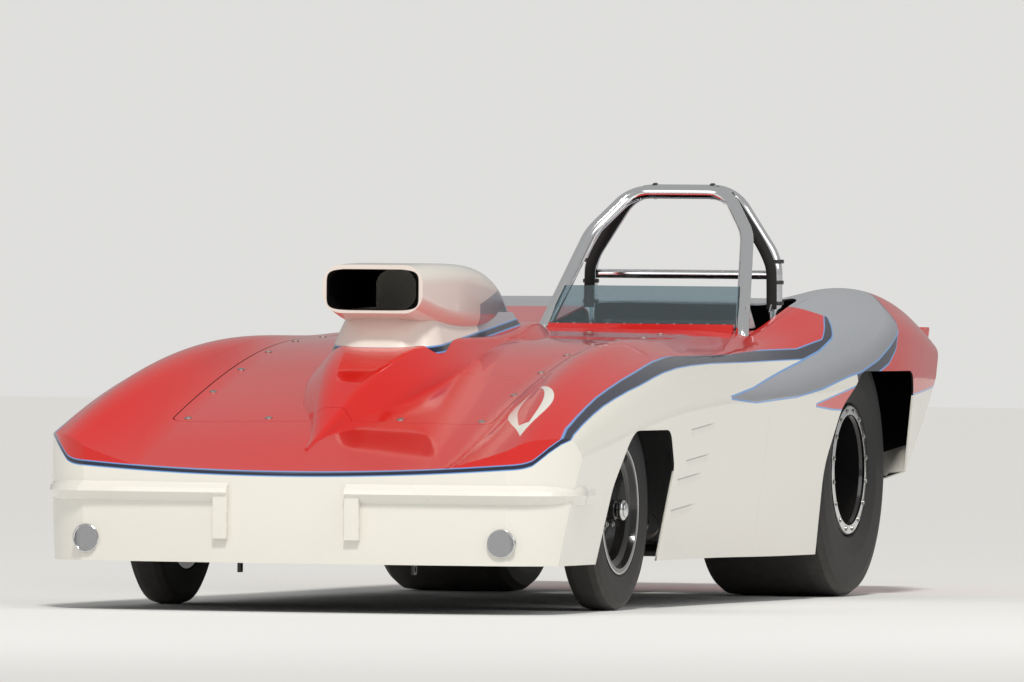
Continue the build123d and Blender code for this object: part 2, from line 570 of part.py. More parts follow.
RACK_X, RACK_AFT = 300.0, 185.0
TIE_DROP = STEER_ARM_Z - 9 - ARM_GAP - 8
tie_rod = tube((RACK_X, RACK_AFT, TIE_DROP), (STEER_ARM_X - 6, STEER_ARM_AFT, TIE_DROP), 8)
rack = tube((-RACK_X, RACK_AFT, TIE_DROP), (RACK_X, RACK_AFT, TIE_DROP), 22)
hand_in(suspension, "front_suspension_left")
hand_in(mirrored(suspension), "front_suspension_right")
clamp = slab(190, 220, RACK_AFT - 12, RACK_AFT + 12, 178 + 19 + SEAT, TIE_DROP)
hand_in(joined(rack, tie_rod, mirrored(tie_rod), clamp, mirrored(clamp)), "steering_rack")

# ------------------------------------------------------------------ chassis
RAIL_R, RAIL_Z = 21.0, 178.0
UPPER_Z = 600.0
Rail = namedtuple("Rail", "a b r")
LOWER_RAIL = [(300, -640, RAIL_Z), (350, -250, RAIL_Z), (352, 300, RAIL_Z), (400, 1250, RAIL_Z), (400, 2130, RAIL_Z),
              (278, 2245, RAIL_Z), (278, 2520, 262), (278, 3150, 300)]
LOWER_BENDS = [150, 400, 600, 70, 70, 200]
POST_R = 16.0
POSTS = [
    Rail((351, -120, RAIL_Z), (351, -120, 430), POST_R),
    Rail((351, 120, RAIL_Z), (351, 120, 430), POST_R),
    Rail((351, -135, 430), (351, 135, 430), POST_R - 1),
    Rail((351, 0, 430), (400, 0, 640), POST_R - 2),
    Rail((400, 1280, RAIL_Z), (400, 1280, UPPER_Z), POST_R),
    Rail((351, 120, 420), (400, 1280, UPPER_Z - 10), POST_R - 1),
    Rail((278, 2235, RAIL_Z), (278, 2235, UPPER_Z + 10), POST_R),
    Rail((278, 2225, UPPER_Z), (278, 3140, UPPER_Z), POST_R - 1),
    Rail((278, 3130, 299), (278, 3130, UPPER_Z + 10), POST_R),
]
CROSS = [
    Rail((-302, -622, RAIL_Z), (302, -622, RAIL_Z), RAIL_R - 2),
    Rail((-350, -120, RAIL_Z), (350, -120, RAIL_Z), RAIL_R - 2),
    Rail((-351, 185, RAIL_Z), (351, 185, RAIL_Z), RAIL_R - 2),
    Rail((-400, 1280, RAIL_Z), (400, 1280, RAIL_Z), RAIL_R - 2),
    Rail((-400, 1720, RAIL_Z), (CAGE_X + FRONT_HOOP_HALF, 1720, RAIL_Z), RAIL_R - 2),
    Rail((-400, 2100, RAIL_Z), (CAGE_X + MAIN_HOOP_HALF, 2100, RAIL_Z), RAIL_R - 2),
    Rail((-278, 3130, 299), (278, 3130, 299), RAIL_R - 2),
    Rail((-278, 3130, UPPER_Z), (278, 3130, UPPER_Z), POST_R - 2),
]
OUTRIGGERS = [
    Rail((305, -600, RAIL_Z + 4), (860, -600, RAIL_Z + 4), 14),
    Rail((365, 620, RAIL_Z), (860, 620, RAIL_Z), 14),
    Rail((400, 1330, RAIL_Z), (860, 1330, RAIL_Z), 14),
    Rail((400, 2040, RAIL_Z), (860, 2040, RAIL_Z), 14),
]
EYE_X, EYE_AFT, EYE_Z, EYE_R, EYE_T = 290.0, -622.0, 134.0, 9.0, 8.0
eye = slab(EYE_X - EYE_T / 2, EYE_X + EYE_T / 2, EYE_AFT - 17, EYE_AFT + 17, EYE_Z - 17, RAIL_Z - 6) - tube(
    (EYE_X - 20, EYE_AFT, EYE_Z), (EYE_X + 20, EYE_AFT, EYE_Z), EYE_R)
PAD_Z = 150.0
pad = slab(-45, 45, 2078, 2122, PAD_Z, RAIL_Z - 8)
half = joined(bent_tube(LOWER_RAIL, LOWER_BENDS, RAIL_R), *[tube(*r) for r in POSTS],
              *[tube(*r) & inner for r in OUTRIGGERS], eye)
chassis = joined(half, mirrored(half), *[tube(*r) for r in CROSS], pad)
print("chassis", chassis.is_valid, half.is_valid, len(chassis.solids()), chassis.volume / 1e6)
hand_in(chassis, "chassis_frame")

# --------------------------------------------------------------- roll hoops
main_hoop = bent_tube(MAIN_HOOP_PATH, MAIN_HOOP_BENDS, HOOP_R)
front_hoop = bent_tube(FRONT_HOOP_PATH, FRONT_HOOP_BENDS, HOOP_R)
print("hoops", main_hoop.is_valid, front_hoop.is_valid, len(main_hoop.solids()))
hand_in(main_hoop, "main_hoop")
hand_in(front_hoop, "front_hoop")

# ---------------------------------------------------------- cage cross pieces
BAR_Z, BAR_R = 1120.0, 15.0
bar_end = MAIN_HOOP_HALF - HOOP_R - 3 * SEAT
cross_bar = tube((CAGE_X - bar_end, MAIN_AFT, BAR_Z - 40), (CAGE_X + bar_end, MAIN_AFT, BAR_Z - 40), BAR_R)
hand_in(cross_bar, "harness_bar")

# ------------------------------------------------------------------ cockpit
TUB_X0, TUB_X1, TUB_FRONT, TUB_REAR = 62.0, 618.0, 1385.0, 2195.0
TUB_Z0, TUB_TOP, TIN = RAIL_Z + RAIL_R + SEAT, 800.0, 3.0
tub = slab(TUB_X0, TUB_X1, TUB_FRONT, TUB_REAR, TUB_Z0, TUB_TOP) - slab(
    TUB_X0 + TIN, TUB_X1 - TIN, TUB_FRONT + TIN, TUB_REAR - TIN, TUB_Z0 + TIN, TUB_TOP + 50)
tub = tub - slab(TUB_X0 + 40, TUB_X1 - 40, TUB_REAR - 20, TUB_REAR + 20, 700, TUB_TOP + 50)
hand_in(tub, "cockpit_tub")

SEAT_HALF, SEAT_WALL = 235.0, 8.0
SEAT_FRONT, SEAT_BACK = 1660.0, 2185.0
seat_z = TUB_Z0 + TIN + SEAT
seat_outer = side_prism([(SEAT_FRONT, seat_z), (SEAT_FRONT, seat_z + 190), (1930, seat_z + 150), (2080, 925),
                         (SEAT_BACK, 925), (SEAT_BACK - 60, seat_z)], [10, 40, 130, 30, 15, 60],
                        CAGE_X - SEAT_HALF, CAGE_X + SEAT_HALF)
seat_inner = side_prism([(SEAT_FRONT - 60, seat_z + 130), (SEAT_FRONT - 60, seat_z + 320), (1800, seat_z + 320), (2000, 1000),
                         (SEAT_BACK - 12, 1000), (SEAT_BACK - 70, seat_z + 60), (1900, seat_z + 60)], [5, 5, 60, 5, 5, 90, 90],
                        CAGE_X - SEAT_HALF + 30, CAGE_X + SEAT_HALF - 30)
seat = seat_outer - seat_inner
print("seat", seat.is_valid, len(seat.solids()), seat.volume / 1e6)
hand_in(seat, "seat")

DASH_AFT, DASH_Z0, DASH_Z1 = 1640.0, 640.0, 820.0
dash = slab(TUB_X0 + TIN + SEAT, TUB_X1 - TIN - SEAT, DASH_AFT, DASH_AFT + 3, DASH_Z0, DASH_Z1)
WHEEL_POS = (CAGE_X, 1830.0, 745.0)
COLUMN_FOOT = (CAGE_X, DASH_AFT + 3 + SEAT, 700.0)
dash = dash - tube((CAGE_X, DASH_AFT - 120, 700 - 28), WHEEL_POS, 16.6)
hand_in(dash, "dash_panel")
wheel_at, foot_at = point(*WHEEL_POS), point(*COLUMN_FOOT)
wheel_plane = Plane(origin=wheel_at, z_dir=wheel_at - foot_at)
with BuildPart() as steering_wheel:
    with BuildSketch(Plane(origin=wheel_at, x_dir=(1, 0, 0), z_dir=wheel_plane.z_dir)):
        Circle(152)
        Circle(122, mode=Mode.SUBTRACT)
        Circle(34)
        Rectangle(250, 30)
        with Locations((0, -64)):
            Rectangle(30, 120)
    extrude(amount=11, both=True)
steering_wheel = joined(steering_wheel.part, tube(COLUMN_FOOT, WHEEL_POS, 16))
hand_in(steering_wheel, "steering_wheel")

# -------------------------------------------------------------- windshield
GLASS_T = 4.0
GLASS_HALF = 318.0
LIP_AFT, GLASS_Z0, GLASS_Z1 = 1752.0, 906.0, 1040.0
GLASS_LEAN = (2058.0 - 1742.0) / (1215.0 - 870.0)
lip = slab(CAGE_X - GLASS_HALF, CAGE_X + GLASS_HALF, LIP_AFT - 24, LIP_AFT + 4, 860, GLASS_Z0 + 8) - seat_form
lip = max(lip.solids(), key=lambda q: q.volume)
hand_in(lip, "windshield_lip")
with BuildPart() as glass:
    with BuildSketch(Plane.YZ.offset(CAGE_X - GLASS_HALF)):
        with BuildLine():
            a0, a1 = LIP_AFT + 4 + SEAT, LIP_AFT + 4 + SEAT + (GLASS_Z1 - GLASS_Z0 - 10) * GLASS_LEAN
            Polyline((at(a0), GLASS_Z0 - 12), (at(a0), GLASS_Z0 + 10), (at(a1), GLASS_Z1), (at(a1 + GLASS_T * 1.4), GLASS_Z1),
                     (at(a0 + GLASS_T), GLASS_Z0 + 8), (at(a0 + GLASS_T), GLASS_Z0 - 12), (at(a0), GLASS_Z0 - 12))
        make_face()
    extrude(amount=2 * GLASS_HALF)
windshield = max((glass.part - seat_form - bent_tube(FRONT_HOOP_PATH, FRONT_HOOP_BENDS, HOOP_R + SEAT)).solids(), key=lambda q: q.volume)
hand_in(windshield, "windshield")

# --------------------------------------------------------------- driveline
ENGINE_HALF, ENGINE_FRONT, ENGINE_REAR, ENGINE_Z0, ENGINE_Z1 = 280.0, 262.0, 880.0, 240.0, 752.0
GEARBOX_REAR, SHAFT_Z = 1370.0, 372.0
engine = slab(-ENGINE_HALF, ENGINE_HALF, ENGINE_FRONT, ENGINE_REAR, ENGINE_Z0 + 120, ENGINE_Z1)
sump = slab(-120, 120, ENGINE_FRONT + 40, ENGINE_REAR - 60, 170, ENGINE_Z0 + 120)
plate_z = RAIL_Z + RAIL_R + SEAT
plate = slab(-338, 338, 325, 337, plate_z + 40, 520)
feet = [slab(q * 352 - 18, q * 352 + 18, 322, 340, plate_z, plate_z + 60) for q in (-1, 1)]
engine = joined(engine, sump, plate, *feet)
gearbox = joined(tube((0, ENGINE_REAR + SEAT, SHAFT_Z), (0, ENGINE_REAR + 190, SHAFT_Z), 165),
                 tube((0, ENGINE_REAR + 100, SHAFT_Z), (0, GEARBOX_REAR, SHAFT_Z), 58))
axle_z = REAR_HUB[2]
shaft = tube((0, GEARBOX_REAR - 40, SHAFT_Z), (0, WHEELBASE - 140, axle_z - 30), 38) & slab(
    -60, 60, GEARBOX_REAR + SEAT, WHEELBASE - 170, 200, 600)
HOUSING_END = REAR_TRACK / 2 - 92 - 6
STUB_R = 17.0
housing = joined(tube((-HOUSING_END, WHEELBASE, axle_z), (HOUSING_END, WHEELBASE, axle_z), 42),
                 tube((-HOUSING_END - 22, WHEELBASE, axle_z), (HOUSING_END + 22, WHEELBASE, axle_z), STUB_R),
                 slab(268, 288, WHEELBASE - 24, WHEELBASE + 24, 297, axle_z), slab(-288, -268, WHEELBASE - 24, WHEELBASE + 24, 297, axle_z),
                 tube((-95, WHEELBASE, axle_z), (95, WHEELBASE, axle_z), 150),
                 tube((0, WHEELBASE - 170 + SEAT, axle_z - 20), (0, WHEELBASE - 60, axle_z - 20), 62))
hand_in(engine, "engine_block")
hand_in(gearbox, "gearbox")
hand_in(shaft, "driveshaft")
hand_in(housing, "rear_axle")

# ----------------------------------------------------------- spoiler, tail
PLATE_T, SPOILER_HALF = 5.0, 700.0
with BuildPart() as blade:
    with BuildSketch(Plane.YZ.offset(-SPOILER_HALF)):
        tip = at(SPOILER_REACH)
        Polygon((tip - 168, 790), (tip - 168, 856), (tip - 8, 906), (tip, 900), (tip - 128, 846), (tip - 128, 790), align=None)
    extrude(amount=2 * SPOILER_HALF)
with BuildPart() as end_plate:
    with BuildSketch(Plane.YZ.offset(SPOILER_HALF)):
        Polygon((tip - 240, 780), (tip - 240, 870), (tip - 8, 906), (tip, 900), (tip - 48, 800), align=None)
    extrude(amount=PLATE_T)
spoiler = joined(blade.part, end_plate.part, mirrored(end_plate.part)) - seat_form
spoiler = max(spoiler.solids(), key=lambda q: q.volume)
hand_in(spoiler, "rear_spoiler")
print("spoiler", spoiler.bounding_box(), len(spoiler.solids()))

# ----------------------------------------------------------------- exhaust
PIPE_R, PIPE_WALL = 44.0, 3.0
pipe_path = [(ENGINE_HALF - 30, 548, 446), (470, 640, 335), (520, 1190, 252)]
pipe = bent_tube(pipe_path, [110], PIPE_R) - slab(-400, ENGINE_HALF + SEAT, 400, 700, 200, 700)
pipe = pipe - tube((519.5, 1100, 265.5), (525, 1260, 241), PIPE_R - PIPE_WALL)
hand_in(pipe, "exhaust_left")
hand_in(mirrored(pipe), "exhaust_right")
print("pipe", pipe.is_valid, len(pipe.solids()))

# ------------------------------------------------------------ cage gussets
GUSSET_T = 5.0
gussets = []
for leg_x, corners, hole in [
    (CAGE_X + FRONT_HOOP_HALF, [(1772, 902), (1900, 902), (1810, 985)], (1822, 925)),
    (CAGE_X + MAIN_HOOP_HALF, [(MAIN_AFT - HOOP_R - SEAT, 905), (MAIN_AFT - HOOP_R - SEAT, 1010), (MAIN_AFT - 122, 905)], (MAIN_AFT - 55, 934)),
]:
    with BuildPart() as gusset:
        with BuildSketch(Plane.YZ.offset(leg_x - GUSSET_T / 2)):
            Polygon(*[(at(a), z) for a, z in corners], align=None)
            with Locations((at(hole[0]), hole[1])):
                Circle(9, mode=Mode.SUBTRACT)
        extrude(amount=GUSSET_T)
    gussets.append(gusset.part)
gussets = joined(*gussets) - seat_form - bent_tube(FRONT_HOOP_PATH, FRONT_HOOP_BENDS, HOOP_R + SEAT)
print("gussets", len(gussets.solids()), [g.volume for g in gussets.solids()])
hand_in(gussets, "cage_gussets")
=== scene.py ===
"""Drag racing roadster: finishes, small parts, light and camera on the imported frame."""

from __future__ import annotations

import json
import logging
import math
from dataclasses import dataclass, field
from enum import Enum
from typing import Callable, Iterable, Sequence, Union

import bpy
from mathutils import Euler, Matrix, Vector

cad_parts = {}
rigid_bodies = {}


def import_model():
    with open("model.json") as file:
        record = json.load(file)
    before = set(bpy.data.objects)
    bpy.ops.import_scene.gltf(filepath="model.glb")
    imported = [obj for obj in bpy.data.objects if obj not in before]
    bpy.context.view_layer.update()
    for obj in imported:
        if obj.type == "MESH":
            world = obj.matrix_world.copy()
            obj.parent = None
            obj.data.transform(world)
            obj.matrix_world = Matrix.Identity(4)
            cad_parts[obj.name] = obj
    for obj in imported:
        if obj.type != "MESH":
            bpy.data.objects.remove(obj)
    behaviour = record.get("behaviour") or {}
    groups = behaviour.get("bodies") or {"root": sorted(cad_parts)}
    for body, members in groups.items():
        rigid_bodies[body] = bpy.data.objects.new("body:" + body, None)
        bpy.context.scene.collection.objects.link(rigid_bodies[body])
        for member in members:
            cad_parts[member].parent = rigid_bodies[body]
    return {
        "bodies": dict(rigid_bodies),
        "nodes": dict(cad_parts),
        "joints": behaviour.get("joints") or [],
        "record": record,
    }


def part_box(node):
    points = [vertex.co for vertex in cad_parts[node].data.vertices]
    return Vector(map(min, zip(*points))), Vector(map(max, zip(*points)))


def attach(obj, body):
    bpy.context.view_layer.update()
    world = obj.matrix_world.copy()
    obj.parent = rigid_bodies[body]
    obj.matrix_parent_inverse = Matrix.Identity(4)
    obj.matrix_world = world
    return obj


LOG = logging.getLogger("roadster")
Triple = tuple[float, float, float]
Colour = Triple
Point = Sequence[float]
Profile = tuple[tuple[float, float], ...]
Thing = bpy.types.Object
Socket = bpy.types.NodeSocket
Material = bpy.types.Material
Value = Union[float, Colour, Socket]

CAGE_X = 0.330  # middle line of the seat and the hoops, left of the car's
HOOP_AFT = 2.232  # the main hoop, behind the front axle
REACH = 1.2  # where a line towards a side or down onto the car starts
CLEAR = 0.3  # how far off the engine block a line towards it starts
SIDES = (("left", 1), ("right", -1))
UP, DOWN, AFT, FORE = (0, 0, 1), (0, 0, -1), (0, 1, 0), (0, -1, 0)


class Hue(Enum):
    """Colours of the car and the floor, linear RGB."""

    RED = (0.64, 0.006, 0.002)
    WHITE = (0.83, 0.81, 0.74)
    NAVY = (0.006, 0.009, 0.034)
    SKY = (0.14, 0.34, 0.72)
    SILVER = (0.36, 0.38, 0.42)
    # painted shade at the foot of the silver sweep
    SMOKE = (0.17, 0.17, 0.19)
    BLACK = (0.012, 0.012, 0.013)
    # painted shade inside the scoop's mouth
    DARK = (0.004, 0.004, 0.004)
    # painted shade in the side creases
    CREASE = (0.16, 0.14, 0.11)
    # near-black colour of the shell's inner faces
    LAMINATE = (0.028, 0.028, 0.030)
    WALL = (0.010, 0.010, 0.011)
    SCUFF = (0.060, 0.056, 0.052)
    FLOOR = (0.84, 0.84, 0.83)


@dataclass(frozen=True)
class Finish:
    """Surface numbers of one finish.

    Args:
        colour: Base colour, linear RGB.
        metallic: 0 for paint and rubber, 1 for bare metal.
        roughness: Roughness of the clean surface.
        coat: Clear coat weight.
        grain: Strength of the fine bump.
        scale: Size of the grain, in features per metre.
        clear: Transmission weight.
    """

    colour: Colour
    metallic: float = 0.0
    roughness: float = 0.4
    coat: float = 0.0
    grain: float = 0.05
    scale: float = 60.0
    clear: float = 0.0


FINISHES: dict[str, Finish] = {
    "white_paint": Finish(Hue.WHITE.value, roughness=0.28, coat=0.8, grain=0.02, scale=14),
    "red_paint": Finish(Hue.RED.value, roughness=0.26, coat=0.9, grain=0.02, scale=14),
    "lens": Finish((0.42, 0.43, 0.45), roughness=0.12, coat=0.6, grain=0.3, scale=220, clear=0.35),
    "lamp_red": Finish((0.42, 0.006, 0.006), roughness=0.14, coat=0.8, grain=0.25, scale=200, clear=0.15),
    "clear_sheet": Finish((0.50, 0.66, 0.72), roughness=0.03, grain=0.01, clear=0.95),
    "tin": Finish((0.50, 0.50, 0.51), metallic=0.9, roughness=0.38, grain=0.10, scale=45),
    "seat_pad": Finish((0.020, 0.020, 0.022), roughness=0.72, grain=0.30, scale=260),
    "cage_chrome": Finish((0.92, 0.93, 0.95), metallic=1.0, roughness=0.10, grain=0.01, scale=30),
    "frame_paint": Finish((0.018, 0.018, 0.020), roughness=0.36, coat=0.3, grain=0.05, scale=70),
    "block_iron": Finish((0.050, 0.050, 0.054), metallic=0.5, roughness=0.62, grain=0.5, scale=120),
    "cast_case": Finish((0.36, 0.36, 0.37), metallic=0.85, roughness=0.48, grain=0.35, scale=140),
    "pipe_steel": Finish((0.34, 0.30, 0.26), metallic=1.0, roughness=0.34, grain=0.08, scale=40),
    "gusset_sheet": Finish((0.68, 0.68, 0.70), metallic=0.95, roughness=0.26, grain=0.05, scale=60),
    "wheel_black": Finish((0.010, 0.010, 0.011), roughness=0.22, coat=0.6, grain=0.03, scale=40),
    "polished": Finish((0.76, 0.76, 0.77), metallic=1.0, roughness=0.16, grain=0.03, scale=90),
    "bolt_zinc": Finish((0.46, 0.46, 0.44), metallic=1.0, roughness=0.34, grain=0.06, scale=120),
    "pad_foam": Finish((0.010, 0.010, 0.010), roughness=0.85, grain=0.35, scale=320),
    "webbing": Finish((0.020, 0.022, 0.030), roughness=0.80, grain=0.6, scale=500),
    "dial": Finish((0.74, 0.74, 0.70), roughness=0.5, grain=0.02, scale=40),
}
SHELL = Finish(Hue.WHITE.value, roughness=0.24, coat=0.7, grain=0.015, scale=12)
RUBBER = Finish(Hue.BLACK.value, roughness=0.62, grain=0.35, scale=180)
FINISH_OF_NODE = {"windshield_lip": "red_paint"}

# painted lines on the flank: (metres behind the front axle, metres up)
STRIPE: Profile = (
    (-1.10, 0.438), (-1.00, 0.455), (-0.952, 0.468), (-0.924, 0.479), (-0.890, 0.514),
    (-0.847, 0.545), (-0.759, 0.578), (-0.645, 0.611), (-0.525, 0.642), (-0.404, 0.670),
    (-0.27, 0.695), (-0.117, 0.720), (0.066, 0.745), (0.20, 0.763), (0.333, 0.778),
    (0.512, 0.792), (0.70, 0.800), (0.95, 0.806), (1.352, 0.809), (1.937, 0.818),
    (2.20, 0.850), (2.42, 0.945), (2.55, 1.10), (4.0, 1.20))
SWEEP_LOW: Profile = (
    (0.0, 1.20), (0.97, 1.20), (0.985, 0.677), (1.294, 0.663), (1.777, 0.680), (2.079, 0.706),
    (2.364, 0.745), (2.511, 0.761), (2.716, 0.801), (2.887, 0.848), (3.051, 0.902),
    (3.10, 1.20), (4.0, 1.20))
SWEEP_HIGH: Profile = (
    (0.0, 0.60), (0.97, 0.60), (0.992, 0.678), (1.293, 0.705), (1.878, 0.786), (2.121, 0.825),
    (2.292, 0.868), (2.400, 0.939), (2.46, 1.15), (4.0, 1.20))
WEDGE_HIGH: Profile = (
    (0.0, 0.60), (1.98, 0.640), (2.01, 0.650), (2.547, 0.722), (2.83, 0.782), (2.95, 0.83),
    (3.07, 0.93), (3.12, 1.20), (4.0, 1.20))
WEDGE_LOW: Profile = (
    (0.0, 1.20), (1.98, 1.20), (2.00, 0.648), (2.20, 0.636), (2.42, 0.632), (2.60, 0.600),
    (3.10, 0.600), (3.13, 0.680), (3.40, 0.697), (3.90, 0.735), (4.0, 0.74))


def middle_of(node: str) -> Vector:
    """The middle of a CAD node's box."""
    low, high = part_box(node)
    return Vector((a + b) / 2 for a, b in zip(low, high))


def front_axle_y() -> float:
    """Row Y of the front axle, from the frame."""
    low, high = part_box("front_tyre_left")
    return (low[1] + high[1]) / 2.0


@dataclass(frozen=True)
class RoadWear:
    """The shared node group: grain, uneven gloss and a little road dust low down.

    Args:
        name: Name of the group.
        grain_detail: Octaves of the grain.
        grain_depth: Depth of the grain, in metres.
        patch_scale: Patches of gloss and dust per metre.
        patch_detail: Octaves of the patches.
        gloss_spread: How far roughness changes over the patches.
        dust_top: Height where the dust begins, in metres.
        dust_foot: Height where it is thickest, in metres.
        dust_most: Its share there.
        dust_colour: Its colour, linear RGB.
    """

    name: str = "road_wear"
    grain_detail: float = 3.0
    grain_depth: float = 0.0006
    patch_scale: float = 3.5
    patch_detail: float = 4.0
    gloss_spread: float = 0.10
    dust_top: float = 0.42
    dust_foot: float = 0.05
    dust_most: float = 0.22
    dust_colour: Colour = (0.20, 0.17, 0.14)

    def group(self) -> bpy.types.NodeTree:
        """The group, made at the first call.

        Returns:
            The node tree that each material places with its own values.
        """
        if self.name in bpy.data.node_groups:
            return bpy.data.node_groups[self.name]
        group = bpy.data.node_groups.new(self.name, "ShaderNodeTree")
        numbers = ("Roughness", "Scale", "Grain", "Relief")
        given = (("Place", "Vector"), ("Colour", "Color"), *((name, "Float") for name in numbers))
        put_out = (("Colour", "Color"), ("Roughness", "Float"), ("Normal", "Vector"))
        for in_out, sockets in (("INPUT", given), ("OUTPUT", put_out)):
            for socket, kind in sockets:
                group.interface.new_socket(socket, in_out=in_out, socket_type=f"NodeSocket{kind}")
        inside = group.nodes.new("NodeGroupInput").outputs
        outside = group.nodes.new("NodeGroupOutput").inputs
        patches = group.nodes.new("ShaderNodeTexNoise")
        group.links.new(inside["Place"], patches.inputs["Vector"])
        patches.inputs["Scale"].default_value = self.patch_scale
        patches.inputs["Detail"].default_value = self.patch_detail
        group.links.new(self.gloss(group, inside, patches.outputs["Fac"]), outside["Roughness"])
        group.links.new(self.dust(group, inside, patches.outputs["Fac"]), outside["Colour"])
        group.links.new(self.bump(group, inside), outside["Normal"])
        return group

    def gloss(self, group: bpy.types.NodeTree, inside: dict, patches: Socket) -> Socket:
        """Roughness that rises and falls over the patches.

        Args:
            group: The group's tree.
            inside: What the group is given.
            patches: The patches, from 0 to 1.
        Returns:
            The roughness.
        """
        spread, even = group.nodes.new("ShaderNodeMath"), group.nodes.new("ShaderNodeMath")
        spread.operation = "MULTIPLY_ADD"
        spread.inputs[1].default_value = self.gloss_spread
        group.links.new(patches, spread.inputs[0])
        group.links.new(inside["Roughness"], spread.inputs[2])
        even.operation, even.use_clamp = "SUBTRACT", True
        even.inputs[1].default_value = self.gloss_spread / 2
        group.links.new(spread.outputs[0], even.inputs[0])
        return even.outputs[0]

    def dust(self, group: bpy.types.NodeTree, inside: dict, patches: Socket) -> Socket:
        """The colour with dust over it, more the lower the point is.

        Args:
            group: The group's tree.
            inside: What the group is given.
            patches: The patches, from 0 to 1.
        Returns:
            The colour.
        """
        split, low = group.nodes.new("ShaderNodeSeparateXYZ"), group.nodes.new("ShaderNodeMapRange")
        group.links.new(inside["Place"], split.inputs[0])
        group.links.new(split.outputs["Z"], low.inputs["Value"])
        heights = (("From Min", self.dust_top), ("From Max", self.dust_foot))
        for socket, value in (*heights, ("To Min", 0.0), ("To Max", self.dust_most)):
            low.inputs[socket].default_value = value
        share, mix = group.nodes.new("ShaderNodeMath"), group.nodes.new("ShaderNodeMix")
        share.operation = "MULTIPLY"
        group.links.new(low.outputs[0], share.inputs[0])
        group.links.new(patches, share.inputs[1])
        mix.data_type = "RGBA"
        mix.inputs[7].default_value = (*self.dust_colour, 1.0)
        group.links.new(share.outputs[0], mix.inputs[0])
        group.links.new(inside["Colour"], mix.inputs[6])
        return mix.outputs[2]

    def bump(self, group: bpy.types.NodeTree, inside: dict) -> Socket:
        """The normal, tilted by the relief and then by the grain.

        Args:
            group: The group's tree.
            inside: What the group is given.
        Returns:
            The normal.
        """
        grain = group.nodes.new("ShaderNodeTexNoise")
        group.links.new(inside["Place"], grain.inputs["Vector"])
        group.links.new(inside["Scale"], grain.inputs["Scale"])
        grain.inputs["Detail"].default_value = self.grain_detail
        shape, fine = group.nodes.new("ShaderNodeBump"), group.nodes.new("ShaderNodeBump")
        shape.inputs["Distance"].default_value = 1.0
        group.links.new(inside["Relief"], shape.inputs["Height"])
        fine.inputs["Distance"].default_value = self.grain_depth
        group.links.new(inside["Grain"], fine.inputs["Strength"])
        group.links.new(grain.outputs["Fac"], fine.inputs["Height"])
        group.links.new(shape.outputs["Normal"], fine.inputs["Normal"])
        return fine.outputs["Normal"]


